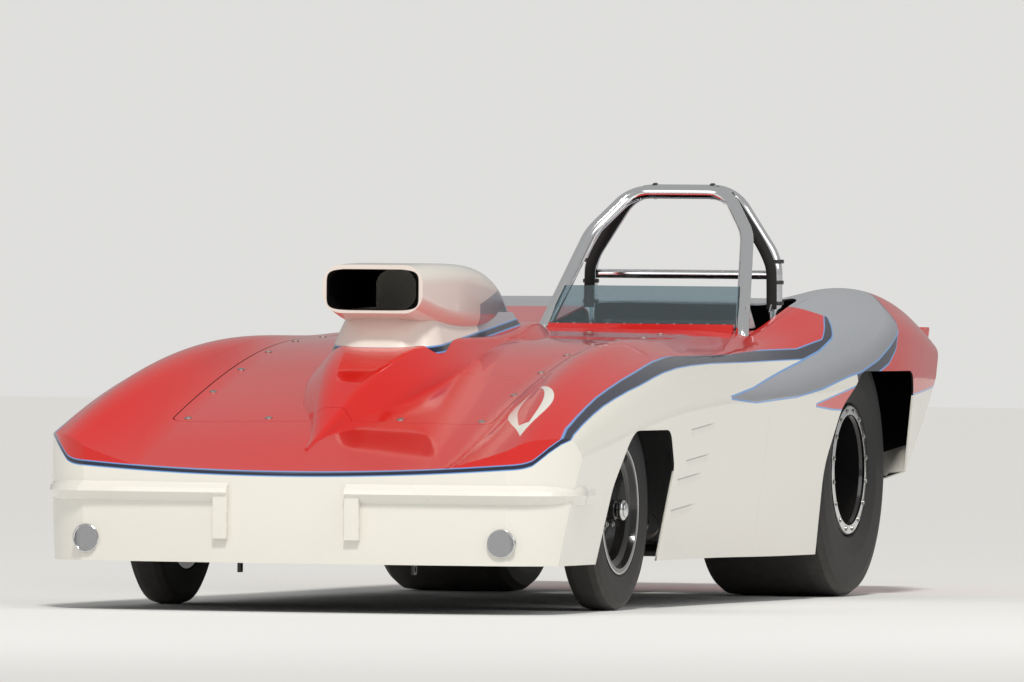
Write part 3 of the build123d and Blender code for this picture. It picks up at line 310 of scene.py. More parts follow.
class Tree:
    """A material's node tree, with short calls for arithmetic on sockets."""

    EDGE = 0.0012  # half the ramp of a painted edge, in metres
    CURVE_ALONG = (-1.2, 4.2)  # the reach of a painted line, behind the front axle
    CURVE_TOP = 1.25  # the height at the top of a curve node
    COAT_ROUGHNESS = 0.06
    SPECULAR = 0.38  # of a painted shell where it is clean

    def __init__(self, name: str) -> None:
        """Starts a material with a surface shader.

        Args:
            name: Name of the material.
        """
        self.material = bpy.data.materials.new(name)
        self.material.use_nodes = True
        self.tree = self.material.node_tree
        self.tree.nodes.clear()
        self.output = self.node("ShaderNodeOutputMaterial")
        self.surface = self.node("ShaderNodeBsdfPrincipled")
        self.tree.links.new(self.surface.outputs["BSDF"], self.output.inputs["Surface"])
        self.place = self.node("ShaderNodeTexCoord").outputs["Object"]

    def node(self, kind: str) -> bpy.types.Node:
        """A new node of this kind."""
        return self.tree.nodes.new(kind)

    def plug(self, value: Value | Hue, socket: Socket) -> None:
        """Sets or links a socket, whichever the value asks for.

        Args:
            value: A number, a colour or a socket.
            socket: The socket that gets it.
        """
        plain = value.value if isinstance(value, Hue) else value
        if isinstance(plain, bpy.types.NodeSocket):
            self.tree.links.new(plain, socket)
        elif isinstance(plain, tuple):
            socket.default_value = (*plain, 1.0)[: len(socket.default_value)]
        else:
            socket.default_value = plain

    def math(self, operation: str, a: Value, b: Value = 0.0, clamp: bool = False) -> Socket:
        """One arithmetic node.

        Args:
            operation: Blender's name of it.
            a: First operand.
            b: Second operand.
            clamp: Whether the result stays from 0 to 1.
        Returns:
            The result.
        """
        node = self.node("ShaderNodeMath")
        node.operation, node.use_clamp = operation, clamp
        self.plug(a, node.inputs[0])
        self.plug(b, node.inputs[1])
        node.inputs[2].default_value = 0.0
        return node.outputs[0]

    def plus(self, a: Value, b: Value) -> Socket:
        """a + b."""
        return self.math("ADD", a, b)

    def minus(self, a: Value, b: Value) -> Socket:
        """a - b."""
        return self.math("SUBTRACT", a, b)

    def times(self, *factors: Value) -> Socket:
        """The product of numbers or masks.

        Args:
            factors: The numbers or masks.
        Returns:
            Their product.
        """
        result = factors[0]
        for factor in factors[1:]:
            result = self.math("MULTIPLY", result, factor)
        return result

    def sloped(self, run: Value, slope: float, start: float) -> Socket:
        """start + slope * run."""
        return self.plus(self.times(run, slope), start)

    def gap(self, a: Value, b: Value) -> Socket:
        """How far a and b are apart."""
        return self.math("ABSOLUTE", self.minus(a, b))

    def axes(self) -> tuple[Socket, Socket, Socket]:
        """The place of the shaded point.

        Returns:
            X, metres behind the front axle, and Z.
        """
        split = self.node("ShaderNodeSeparateXYZ")
        self.plug(self.place, split.inputs[0])
        return split.outputs[0], self.minus(split.outputs[1], front_axle_y()), split.outputs[2]

    def curve(self, along: Socket, line: Profile) -> Socket:
        """Height of a painted line.

        Args:
            along: Distance behind the front axle.
            line: The line's points.
        Returns:
            The line's height there, in metres.
        """
        start, end = self.CURVE_ALONG
        share = self.math("DIVIDE", self.minus(along, start), end - start, clamp=True)
        node = self.node("ShaderNodeFloatCurve")
        points = node.mapping.curves[0].points
        pairs = [((a - start) / (end - start), z / self.CURVE_TOP) for a, z in line]
        points[0].location, points[1].location = (0.0, pairs[0][1]), (1.0, pairs[-1][1])
        for pair in pairs:
            points.new(*pair).handle_type = "VECTOR"
        node.mapping.update()
        self.plug(share, node.inputs["Value"])
        return self.times(node.outputs[0], self.CURVE_TOP)

    def over(self, a: Value, b: Value, soft: float = EDGE) -> Socket:
        """A mask that is 1 where a is above b.

        Args:
            a: What has to be above.
            b: What has to be below.
            soft: Half the ramp between 0 and 1.
        Returns:
            The mask.
        """
        node = self.node("ShaderNodeMapRange")
        self.plug(self.minus(a, b), node.inputs["Value"])
        self.plug(-soft, node.inputs["From Min"])
        self.plug(soft, node.inputs["From Max"])
        return node.outputs[0]

    def near(self, a: Value, b: Value, half: Value, soft: float = EDGE) -> Socket:
        """A mask that is 1 where a is within half of b."""
        return self.over(half, self.gap(a, b), soft)

    def mix(self, mask: Value, under: Value | Hue, top: Value | Hue) -> Socket:
        """One colour over another.

        Args:
            mask: 1 where the top colour shows.
            under: The colour below.
            top: The colour on top.
        Returns:
            The mixed colour.
        """
        node = self.node("ShaderNodeMix")
        node.data_type = "RGBA"
        self.plug(mask, node.inputs[0])
        self.plug(under, node.inputs[6])
        self.plug(top, node.inputs[7])
        return node.outputs[2]

    def surface_of(
        self, finish: Finish, colour: Socket | None = None, relief: Value = 0.0, gloss: Socket | None = None
    ) -> Material:
        """Fills the surface shader from a finish.

        Args:
            finish: The numbers.
            colour: A socket that replaces the finish's colour.
            relief: A height socket, in metres, added under the grain.
            gloss: A mask that is 0 where the surface is dull, with no coat and no specular level.
        Returns:
            The finished material.
        """
        wear = self.node("ShaderNodeGroup")
        wear.node_tree = RoadWear().group()
        given = {
            "Place": self.place, "Colour": finish.colour if colour is None else colour,
            "Roughness": finish.roughness, "Scale": finish.scale, "Grain": finish.grain, "Relief": relief}
        for name, value in given.items():
            self.plug(value, wear.inputs[name])
        sockets = self.surface.inputs
        self.plug(wear.outputs["Colour"], sockets["Base Color"])
        self.plug(wear.outputs["Roughness"], sockets["Roughness"])
        self.plug(wear.outputs["Normal"], sockets["Normal"])
        self.plug(finish.metallic, sockets["Metallic"])
        self.plug(finish.clear, sockets["Transmission Weight"])
        self.plug(self.COAT_ROUGHNESS, sockets["Coat Roughness"])
        if gloss is None:
            self.plug(finish.coat, sockets["Coat Weight"])
        else:
            self.plug(self.times(gloss, finish.coat), sockets["Coat Weight"])
            self.plug(self.times(gloss, self.SPECULAR), sockets["Specular IOR Level"])
        return self.material


@dataclass
class BodyPaint:
    """The shell's paint, drawn by the place of the shaded point.

    White below and red above a navy stripe, a silver sweep over the haunch and the deck with
    painted shade along its foot, a red wedge over the rear wheel, a teardrop on the left fender,
    and creases with painted shade behind the front wheel. Distances along the car are behind
    the front axle, in metres.
    """

    tree: Tree
    nose_height: float = 0.437  # of the stripe at the middle of the nose
    nose_rise: float = 0.055  # of the stripe, per square metre outboard
    corner: tuple[float, float] = (0.70, 0.77)  # |x| where the stripe turns onto the flank
    widening_start: float = -1.0  # the stripe widens along the metre behind this place
    half_start: float = 0.009  # half its width there
    half_growth: float = 0.010  # what that gains along the metre
    stripe_edge: float = 0.0035  # the light blue edge of the stripe
    edge: float = 0.006  # the light blue edge of the sweep and the wedge
    band: tuple[float, float] = (2.46, 3.10)  # the navy band between sweep and wedge
    wedge_start: float = 1.97  # where its light blue edge begins
    deck_edge: tuple[float, float] = (0.94, 2.40)  # height and place of the sweep's front edge
    deck_lean: float = -4.2  # how far that edge goes back per metre up
    deck: tuple[float, float] = (2.10, 3.08)  # the sweep's furthest reach on the deck
    deck_height: float = 0.90  # above which it lies on the deck
    shade_height: float = 0.045  # painted shade: the darker foot of the sweep
    shade_soft: float = 0.03
    shade_share: float = 0.55
    tear: tuple[float, float] = (-0.88, 0.46)  # where the teardrop starts and how long it is
    tear_middle: tuple[float, float] = (0.715, -0.18)  # its X there, and its lean
    tear_swell: float = 3.4  # how fast it widens
    tear_blunt: float = 0.15  # the more, the rounder its front
    tear_inside: tuple[float, float] = (0.55, 0.10)  # share of its width, and where it starts
    creases: Profile = ((0.524, 0.576), (0.521, 0.476), (0.449, 0.415), (0.429, 0.315))
    crease_length: float = 0.26
    crease_slope: float = 0.07
    crease_side: float = 0.74  # |x| past which a crease shows
    crease_fade: tuple[float, float] = (0.01, 0.04)  # at its start and its end
    # painted shade along each crease: half the width of the dark line, its ramp and how dark it gets
    groove_half: float = 0.0022
    groove_soft: float = 0.002
    groove_shade_share: float = 0.75
    ridge_drop: float = 0.012  # how far the ridge lies under the groove
    ridge_half: float = 0.004
    ridge_soft: float = 0.008
    ridge_height: float = 0.004
    body_core: tuple[float, float] = (0.35, 3.0)  # a height inside the body, and its weight
    tail_core: tuple[float, float] = (0.80, 1.5)  # the same in the tail
    tail_room: tuple[float, float] = (3.0, 1.2)  # a place inside the tail, and its weight
    tail_start: float = 3.30
    inward: float = -0.06  # a face that looks outwards by less than this is an inner one
    inward_soft: float = 0.005
    shell_end: float = 3.72

    def __post_init__(self) -> None:
        """Reads the shaded point and the painted lines."""
        t = self.tree
        self.x, self.along, self.z = t.axes()
        self.side = t.math("ABSOLUTE", self.x)
        self.low, self.high = t.curve(self.along, SWEEP_LOW), t.curve(self.along, SWEEP_HIGH)
        self.stripe = self.stripe_height()

    def stripe_height(self) -> Socket:
        """The stripe sags across the nose and climbs along the flank.

        Returns:
            Its height, in metres.
        """
        t = self.tree
        nose = t.plus(t.times(self.side, self.side, self.nose_rise), self.nose_height)
        flank = t.node("ShaderNodeMapRange")
        t.plug(self.side, flank.inputs["Value"])
        t.plug(self.corner[0], flank.inputs["From Min"])
        t.plug(self.corner[1], flank.inputs["From Max"])
        climb = t.minus(t.curve(self.along, STRIPE), nose)
        return t.plus(nose, t.times(climb, flank.outputs[0]))

    def striped(self) -> Socket:
        """White and red with the stripe between them.

        Returns:
            The colour.
        """
        t = self.tree
        share = t.math("SUBTRACT", self.along, self.widening_start, clamp=True)
        half = t.sloped(share, self.half_growth, self.half_start)
        colour = t.mix(t.over(self.z, self.stripe), Hue.WHITE, Hue.RED)
        colour = t.mix(t.near(self.z, self.stripe, half), colour, Hue.SKY)
        return t.mix(t.near(self.z, self.stripe, t.minus(half, self.stripe_edge)), colour, Hue.NAVY)

    def wedged(self, colour: Socket) -> Socket:
        """The red wedge and tail, under a navy band.

        Args:
            colour: The paint below.
        Returns:
            The paint with the wedge on it.
        """
        t, z, along = self.tree, self.z, self.along
        high, low = t.curve(along, WEDGE_HIGH), t.curve(along, WEDGE_LOW)
        in_band = t.times(t.over(along, self.band[0]), t.over(self.band[1], along))
        band = t.times(t.over(self.low, z), t.over(z, high), in_band)
        colour = t.mix(band, colour, Hue.NAVY)
        above, below = t.plus(high, self.edge), t.minus(low, self.edge)
        rim = t.times(t.over(above, z), t.over(z, below), t.over(along, self.wedge_start))
        colour = t.mix(rim, colour, Hue.SKY)
        return t.mix(t.times(t.over(high, z), t.over(z, low)), colour, Hue.RED)

    def swept(self, colour: Socket) -> Socket:
        """The silver sweep along the side and over the deck, with painted shade along its foot.

        Args:
            colour: The paint below.
        Returns:
            The paint with the sweep on it.
        """
        t, z, along = self.tree, self.z, self.along
        on_side = t.times(t.over(z, self.low), t.over(self.high, z))
        height, place = self.deck_edge
        front = t.math("MAXIMUM", t.sloped(t.minus(z, height), self.deck_lean, place), self.deck[0])
        on_deck = t.times(t.over(along, front), t.over(self.deck[1], along))
        on_top = t.times(on_deck, t.over(z, self.low), t.over(z, self.deck_height))
        below, above = t.minus(self.low, self.edge), t.plus(self.high, self.edge)
        colour = t.mix(t.times(t.over(z, below), t.over(above, z)), colour, Hue.SKY)
        # painted shade: the silver gets darker towards the sweep's foot on the side
        foot = t.over(t.plus(self.low, self.shade_height), z, self.shade_soft)
        silver = t.mix(t.times(foot, on_side, self.shade_share), Hue.SILVER, Hue.SMOKE)
        return t.mix(t.math("MAXIMUM", on_side, on_top), colour, silver)

    def with_teardrop(self, colour: Socket) -> Socket:
        """The plain teardrop on the left fender.

        Args:
            colour: The paint below.
        Returns:
            The paint with the teardrop on it.
        """
        t = self.tree
        start, length = self.tear
        run = t.minus(self.along, start)
        swell = t.times(t.minus(length, run), t.times(run, self.tear_swell))
        swell = t.times(swell, t.plus(run, self.tear_blunt))
        off = t.gap(self.x, t.sloped(run, self.tear_middle[1], self.tear_middle[0]))
        inside = t.times(t.over(run, 0.0), t.over(length, run), t.over(self.z, self.stripe))
        colour = t.mix(t.times(inside, t.over(swell, off)), colour, Hue.WHITE)
        share, from_start = self.tear_inside
        heart = t.times(inside, t.over(t.times(swell, share), off), t.over(run, from_start))
        return t.mix(heart, colour, Hue.RED)

    def creased(self, colour: Socket) -> tuple[Socket, Socket]:
        """Narrow creases in the side behind the front wheel, each a line of painted shade with a soft ridge
        below it in relief.

        Args:
            colour: The paint below.
        Returns:
            The paint with the creases on it, and their relief in metres.
        """
        t, relief = self.tree, 0.0
        for start, height in self.creases:
            run = t.minus(self.along, start)
            centre = t.sloped(run, self.crease_slope, height)
            first, last = self.crease_fade
            length = t.times(t.over(run, 0.0, first), t.over(self.crease_length, run, last))
            ends = t.times(t.over(self.side, self.crease_side), length)
            shade_line = t.times(ends, t.near(self.z, centre, self.groove_half, self.groove_soft))
            crest = t.minus(centre, self.ridge_drop)
            ridge = t.times(ends, t.near(self.z, crest, self.ridge_half, self.ridge_soft))
            relief = t.plus(relief, t.times(ridge, self.ridge_height))
            # painted shade: the paint darkens along the crease
            colour = t.mix(t.times(shade_line, self.groove_shade_share), colour, Hue.CREASE)
        return colour, relief

    def inner_face(self) -> Socket:
        """A mask of the shell's inner faces, which look back at the car's middle.

        Returns:
            1 on an inner face, which gets a near-black colour and no coat.
        """
        t = self.tree
        facing = t.node("ShaderNodeSeparateXYZ")
        t.plug(t.node("ShaderNodeNewGeometry").outputs["True Normal"], facing.inputs[0])
        across, aft, up = facing.outputs
        tail = t.over(self.along, self.tail_start)
        over_body, over_tail = (
            t.times(t.minus(self.z, core), weight) for core, weight in (self.body_core, self.tail_core))
        height = t.plus(over_body, t.times(tail, t.minus(over_tail, over_body)))
        room, weight = self.tail_room
        behind = t.times(tail, t.times(t.minus(self.along, room), weight))
        outward = t.plus(t.times(across, self.x), t.times(up, height))
        outward = t.plus(outward, t.times(aft, behind))
        inner = t.over(self.inward, outward, self.inward_soft)
        return t.times(inner, t.over(self.shell_end, self.along))

    def material(self) -> Material:
        """Lays the colours over one another.

        Returns:
            The finished paint.
        """
        colour, relief = self.creased(self.with_teardrop(self.swept(self.wedged(self.striped()))))
        inner = self.inner_face()
        # the shell's inner faces get a near-black colour and no coat
        colour = self.tree.mix(inner, colour, Hue.LAMINATE)
        return self.tree.surface_of(SHELL, colour, relief, self.tree.minus(1.0, inner))


@dataclass
class ScoopPaint:
    """White pod, red skirt below a navy and blue line, silver flash behind, painted shade in the mouth.

    Distances along the car are behind the front axle, in metres.
    """

    tree: Tree
    foot: float = 0.8325  # height of the line at the axle
    foot_slope: float = 0.0927
    line_half: float = 0.013
    navy_half: float = 0.008
    flash: Triple = (0.45, 0.975, 0.16)  # its start, top and slope
    mouth_half: tuple[float, float] = (0.155, 0.066)  # across and up
    mouth_height: float = 1.019
    mouth_reach: tuple[float, float] = (-0.176, 0.33)
    squareness: float = 6.0
    mouth_soft: float = 0.05

    def material(self) -> Material:
        """Lays the colours over one another.

        Returns:
            The finished paint.
        """
        t = self.tree
        x, along, z = t.axes()
        foot = t.sloped(along, self.foot_slope, self.foot)
        colour = t.mix(t.over(z, foot), Hue.RED, Hue.WHITE)
        colour = t.mix(t.near(z, foot, self.line_half), colour, Hue.SKY)
        colour = t.mix(t.near(z, foot, self.navy_half), colour, Hue.NAVY)
        start, top, slope = self.flash
        under = t.over(t.sloped(t.minus(along, start), slope, top), z)
        flash = t.times(under, t.over(z, t.plus(foot, self.line_half)), t.over(along, start))
        colour = t.mix(flash, colour, Hue.SILVER)
        # painted shade: the throat inside the mouth is near-black and dull
        across, up = self.mouth_half
        wide = t.math("POWER", t.math("DIVIDE", t.math("ABSOLUTE", x), across), self.squareness)
        tall = t.math("POWER", t.math("DIVIDE", t.gap(z, self.mouth_height), up), self.squareness)
        reach = t.times(t.over(self.mouth_reach[1], along), t.over(along, self.mouth_reach[0]))
        mouth = t.times(t.over(1.0, t.plus(wide, tall), self.mouth_soft), reach)
        return t.surface_of(SHELL, t.mix(mouth, colour, Hue.DARK), gloss=t.minus(1.0, mouth))


@dataclass
class TyreRubber:
    """Slick rubber: fine rings on the wall and a scuffed, greyer tread.

    Args:
        node: The tyre's CAD node.
        shoulder: Depth of the tread's rounded edge, in metres.
        ring_pitch: Radians of the rings' wave per metre.
        ring_depth: Height of the rings, in metres.
        scuff_scale: Scuffs per metre.
        scuff_share: How much of them shows.
        wall_soft: Ramp of the rings at the shoulder, in metres.
        tread_soft: Ramp of the scuffs there.
    """

    node: str
    shoulder: float = 0.022
    ring_pitch: float = 900.0
    ring_depth: float = 0.00025
    scuff_scale: float = 26.0
    scuff_share: float = 0.8
    wall_soft: float = 0.006
    tread_soft: float = 0.01

    def material(self) -> Material:
        """Rings on the wall and scuffs on the tread.

        Returns:
            The finished rubber.
        """
        low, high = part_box(self.node)
        hub, tread = middle_of(self.node), (high[2] - low[2]) / 2 - self.shoulder
        t = Tree(f"rubber_{self.node}")
        split = t.node("ShaderNodeSeparateXYZ")
        t.plug(t.place, split.inputs[0])
        up, back = t.minus(split.outputs[2], hub.z), t.minus(split.outputs[1], hub.y)
        radius = t.math("SQRT", t.plus(t.times(up, up), t.times(back, back)))
        rings = t.math("SINE", t.times(radius, self.ring_pitch))
        relief = t.times(rings, t.over(tread, radius, self.wall_soft), self.ring_depth)
        noise = t.node("ShaderNodeTexNoise")
        t.plug(t.place, noise.inputs["Vector"])
        t.plug(self.scuff_scale, noise.inputs["Scale"])
        worn = t.over(radius, tread, self.tread_soft)
        scuff = t.times(noise.outputs["Fac"], worn, self.scuff_share)
        return t.surface_of(RUBBER, t.mix(scuff, Hue.WALL, Hue.SCUFF), relief)


@dataclass
class Finishes:
    """Makes each material once and puts it on nodes and pieces."""

    made: dict[str, Material] = field(default_factory=dict)
    paints: dict[str, Callable[[Tree], BodyPaint | ScoopPaint]] = field(
        default_factory=lambda: {"body_paint": BodyPaint, "scoop_paint": ScoopPaint})

    def get(self, name: str) -> Material:
        """The material of this name.

        Args:
            name: A finish or a paint.
        Returns:
            The material, made at the first call.
        """
        if name not in self.made:
            tree = Tree(name)
            paint = self.paints.get(name)
            self.made[name] = paint(tree).material() if paint else tree.surface_of(FINISHES[name])
        return self.made[name]

    def put(self, obj: Thing, material: Material) -> None:
        """Gives an object one material, in its object slots.

        Args:
            obj: The object.
            material: Its material.
        """
        if not obj.material_slots:
            obj.data.materials.append(material)
        for entry in obj.material_slots:
            entry.link = "OBJECT"
            entry.material = material

    def dress(self, frame: dict) -> None:
        """Puts a finish on every CAD node, by its slot in the record.
        """
        for part in frame["record"]["subparts"]:
            node, slot = part["node"], part["material_slot"]
            if slot == "tyre_rubber":
                material = TyreRubber(node).material()
            else:
                material = self.get(FINISH_OF_NODE.get(node, slot))
            self.put(frame["nodes"][node], material)


@dataclass(frozen=True)
class Disc:
    """Sizes of a turned disc, in metres.

    Args:
        lift: How far its middle stands off, along its axis.
        radius: Its radius.
        depth: Its thickness.
        sides: Faces round it.
        bevel: Width of its bevelled edges.
    """

    lift: float
    radius: float
    depth: float
    sides: int = 28
    bevel: float = 0.0


@dataclass(frozen=True)
class Ring:
    """Sizes of a ring of round wire, in metres.

    Args:
        radius: From its middle to the wire's.
        wire: The wire's radius.
        around: Faces round the ring.
        section: Faces round the wire.
    """

    radius: float
    wire: float
    around: int
    section: int


@dataclass
class Workshop:
    """Models small pieces with operators and leaves each finished at the origin."""

    finishes: Finishes
    made: list[Thing] = field(default_factory=list)
    bevel_segments: int = 3
    rod_resolution: int = 4
    smooth_angle: float = math.radians(35)

    @staticmethod
    def turn(axis: Point) -> tuple[float, ...]:
        """Euler angles that carry +Z onto an axis."""
        return tuple(Vector(UP).rotation_difference(Vector(axis).normalized()).to_euler())

    def disc(self, at: Point, axis: Point, disc: Disc) -> Thing:
        """A disc with bevelled edges.

        Args:
            at: Where it stands.
            axis: Its axis, a unit vector where it has a lift.
            disc: Its sizes.
        Returns:
            The disc.
        """
        bpy.ops.mesh.primitive_cylinder_add(
            vertices=disc.sides, radius=disc.radius, depth=disc.depth,
            location=Vector(at) + Vector(axis) * disc.lift, rotation=self.turn(axis))
        return self.soften(disc.bevel)

    def stack(self, at: Point, axis: Point, discs: Iterable[Disc]) -> list[Thing]:
        """Several discs on one axis."""
        return [self.disc(at, axis, disc) for disc in discs]

    def block(self, at: Point, size: Point, bevel: float = 0.0, turn: Point = (0, 0, 0)) -> Thing:
        """A box with rounded edges.

        Args:
            at: Its middle.
            size: Its three sides.
            bevel: Width of its bevelled edges.
            turn: Euler angles, in radians.
        Returns:
            The box.
        """
        bpy.ops.mesh.primitive_cube_add(size=1.0, location=at, rotation=turn)
        bpy.context.active_object.scale = size
        bpy.ops.object.transform_apply(location=False, rotation=False, scale=True)
        return self.soften(bevel)

    def ring(self, at: Point, axis: Point, ring: Ring) -> Thing:
        """A ring about an axis.

        Args:
            at: Its middle.
            axis: Its axis.
            ring: Its sizes.
        Returns:
            The ring.
        """
        bpy.ops.mesh.primitive_torus_add(
            major_radius=ring.radius, minor_radius=ring.wire, major_segments=ring.around,
            minor_segments=ring.section, location=at, rotation=self.turn(axis))
        return bpy.context.active_object

    def soften(self, width: float) -> Thing:
        """Bevels the active object's edges.

        Args:
            width: Width of the bevel, or 0 for none.
        Returns:
            The object.
        """
        obj = bpy.context.active_object
        if width > 0:
            bevel = obj.modifiers.new("edges", "BEVEL")
            bevel.width, bevel.segments, bevel.limit_method = width, self.bevel_segments, "ANGLE"
            bpy.ops.object.modifier_apply(modifier=bevel.name)
        return obj

    def open_up(self, obj: Thing, core: Thing) -> None:
        """Cuts a core out of an object and removes the core.

        Args:
            obj: What is cut.
            core: The form that is taken away.
        """
        cut = obj.modifiers.new("open", "BOOLEAN")
        cut.operation, cut.object = "DIFFERENCE", core
        self.choose([obj])
        bpy.ops.object.modifier_apply(modifier=cut.name)
        bpy.data.objects.remove(core, do_unlink=True)

    def rod(self, points: Iterable[Point], radius: float) -> Thing:
        """A smooth rod through guide points, as a mesh.

        Args:
            points: The guide points.
            radius: The rod's radius.
        Returns:
            The rod.
        """
        curve = bpy.data.curves.new("rod", "CURVE")
        curve.dimensions, curve.use_fill_caps = "3D", True
        curve.bevel_depth, curve.bevel_resolution = radius, self.rod_resolution
        guides = list(points)
        spline = curve.splines.new("NURBS")
        spline.points.add(len(guides) - 1)
        for target, guide in zip(spline.points, guides):
            target.co = (*guide, 1.0)
        spline.order_u, spline.use_endpoint_u = 3, True
        obj = bpy.data.objects.new("rod", curve)
        bpy.context.collection.objects.link(obj)
        self.choose([obj])
        bpy.ops.object.convert(target="MESH")
        return bpy.context.active_object

    def widen(self, obj: Thing, times: float) -> None:
        """Makes a rod into a strap.

        Args:
            obj: The rod.
            times: How many times as wide along X it gets.
        """
        self.choose([obj])
        bpy.ops.object.origin_set(type="ORIGIN_GEOMETRY", center="BOUNDS")
        obj.scale = (times, 1.0, 1.0)
        bpy.ops.object.transform_apply(location=False, rotation=False, scale=True)

    @staticmethod
    def choose(objs: Sequence[Thing]) -> None:
        """Selects exactly these objects and makes the first active.

        Args:
            objs: The objects.
        """
        bpy.ops.object.select_all(action="DESELECT")
        for obj in objs:
            obj.select_set(True)
        bpy.context.view_layer.objects.active = objs[0]

    def finish(
        self, name: str, objs: Sequence[Thing], finish: str, body: str = "body", slot: str = ""
    ) -> Thing:
        """Joins pieces into one, applies their transforms, shades, names and mounts it.

        Args:
            name: Name of the piece.
            objs: What it is made of.
            finish: The finish's name.
            body: The CAD body that carries it.
            slot: The record's slot, where the finish is one of those; not used.
        Returns:
            The piece.
        """
        self.choose(objs)
        if len(objs) > 1:
            bpy.ops.object.join()
        bpy.ops.object.transform_apply(location=True, rotation=True, scale=True)
        obj = bpy.context.active_object
        obj.name = obj.data.name = name
        obj.data.materials.clear()
        bpy.ops.object.shade_smooth_by_angle(angle=self.smooth_angle)
        self.finishes.put(obj, self.finishes.get(finish))
        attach(obj, body)
        self.made.append(obj)
        return obj


def landing(node: Thing, start: Point, way: Point) -> tuple[Vector, Vector]:
    """Where a line meets a CAD node.

    Args:
        node: The CAD node.
        start: Where the line starts.
        way: Where it goes.
    Returns:
        The place, and the surface's normal there.
    """
    hit, place, normal, _ = node.ray_cast(Vector(start), Vector(way).normalized())
    if not hit:
        raise ValueError(f"nothing of {node.name} along {tuple(start)}")
    return place, normal


def spokes(count: int, first: float) -> list[Vector]:
    """Unit vectors round the car's X axis.

    Args:
        count: How many.
        first: The first one's angle, in radians.
    Returns:
        The vectors.
    """
    angles = [first + math.tau * step / count for step in range(count)]
    return [Vector((0, math.cos(angle), math.sin(angle))) for angle in angles]


@dataclass
class Detail:
    """Base of the groups of small parts.

    Args:
        shop: Where pieces are modelled.
    """

    frame: dict
    shop: Workshop

    def aft(self, distance: float) -> float:
        """Row Y of a point this far behind the front axle."""
        return front_axle_y() + distance

    def spot(self, node: str, start: Point, way: Point) -> Vector:
        """Where a line meets a CAD node."""
        return landing(self.frame["nodes"][node], start, way)[0]

    def build(self) -> None:
        """Models the group."""
        raise NotImplementedError


@dataclass
class Fasteners(Detail):
    """Quarter-turn fasteners round the hood and rivets along the lip and spoiler."""

    hood: Profile = (  # half of them: across, and behind the front axle
        (0.49, -0.560), (0.22, -0.560), (0.505, -0.26), (0.505, 0.03), (0.505, 0.315),
        (0.505, 0.60), (0.505, 0.89), (0.505, 1.18), (0.25, 1.41), (0.495, 1.41))
    hood_head: tuple[float, float] = (0.0125, 0.003)  # radius and height
    above_hood: float = 1.4
    lip_count: int = 11
    lip_margin: float = 0.03
    lip_ahead: float = 0.004
    lip_head: tuple[float, float] = (0.0045, 0.002)
    spoiler: tuple[float, ...] = (0.685, 0.655, 0.40, 0.12)
    spoiler_aft: float = 3.86
    spoiler_head: tuple[float, float] = (0.007, 0.003)

    def button(self, node: str, start: Point, head: tuple[float, float]) -> list[Thing]:
        """A round head with a shallow boss, standing on a node's surface.

        Args:
            node: The CAD node.
            start: A point above the place.
            head: Its radius and height.
        Returns:
            The head and its boss.
        """
        place, normal = landing(self.frame["nodes"][node], start, DOWN)
        if normal.dot(Vector(DOWN)) > 0:
            normal = -normal
        radius, height = head
        return self.shop.stack(place, normal, (
            Disc(height * 0.3, radius, height, 20, height * 0.4),
            Disc(height * 0.7, radius * 0.5, height * 0.9, 16, height * 0.3)))

    def build(self) -> None:
        """Models the fasteners and the two rows of rivets."""
        rows: dict[str, tuple[str, list[Point], tuple[float, float]]] = {}
        rows["hood_fasteners"] = ("hood", [
            (sign * x, self.aft(distance), self.above_hood)
            for x, distance in self.hood for _, sign in SIDES], self.hood_head)
        low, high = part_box("windshield_lip")
        run, y = high[0] - low[0] - 2 * self.lip_margin, (low[1] + high[1]) / 2 - self.lip_ahead
        rows["lip_rivets"] = ("windshield_lip", [
            (low[0] + self.lip_margin + run * step / (self.lip_count - 1), y, REACH)
            for step in range(self.lip_count)], self.lip_head)
        rows["spoiler_rivets"] = ("rear_spoiler", [
            (sign * x, self.aft(self.spoiler_aft), REACH)
            for _, sign in SIDES for x in self.spoiler], self.spoiler_head)
        for name, (node, starts, head) in rows.items():
            heads = [piece for start in starts for piece in self.button(node, start, head)]
            self.shop.finish(name, heads, "bolt_zinc")


@dataclass
class Wheels(Detail):
    """Base of the front and the rear wheels: hub caps and nuts.

    Args:
        end: Which axle, front or rear.
        cap: The discs of a hub cap.
        nut: The discs of a nut.
        nut_circle: Radius of the circle of nuts.
        nut_count: How many there are.
        nut_first: Angle of the first.
    """

    end: str = ""
    cap: tuple[Disc, ...] = ()
    nut: tuple[Disc, ...] = ()
    nut_circle: float = 0.0
    nut_count: int = 5
    nut_first: float = math.radians(18)

    def hub(self, side: str) -> Vector:
        """The wheel's centre line, at the car's middle."""
        middle = middle_of(f"{self.end}_wheel_{side}")
        return Vector((0, middle.y, middle.z))

    def outer(self, side: str) -> float:
        """How far the wheel reaches outboard."""
        low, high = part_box(f"{self.end}_wheel_{side}")
        return max(abs(low[0]), abs(high[0]))

    def mount(self, name: str, side: str, objs: list[Thing], finish: str) -> None:
        """Finishes a piece that turns with a wheel.

        Args:
            name: Name of the piece, without its side.
            side: left or right.
            objs: What it is made of.
            finish: The finish's name.
        """
        self.shop.finish(f"{name}_{side}", objs, finish, f"wheel_{self.end}_{side}")

    def add_cap_and_nuts(self, side: str, sign: int) -> None:
        """Models a wheel's hub cap and nuts.

        Args:
            side: left or right.
            sign: 1 for left, -1 for right.
        """
        hub, out, node = self.hub(side), Vector((sign, 0, 0)), f"{self.end}_wheel_{side}"
        start = Vector((sign * REACH, hub.y, hub.z))
        face = Vector((self.spot(node, start, -out).x, hub.y, hub.z))
        self.mount(f"{self.end}_hub_cap", side, self.shop.stack(face, out, self.cap), "polished")
        nuts: list[Thing] = []
        for spoke in spokes(self.nut_count, self.nut_first):
            seat = self.spot(node, start + spoke * self.nut_circle, -out)
            nuts += self.shop.stack(seat, out, self.nut)
        self.mount(f"{self.end}_nuts", side, nuts, "bolt_zinc")


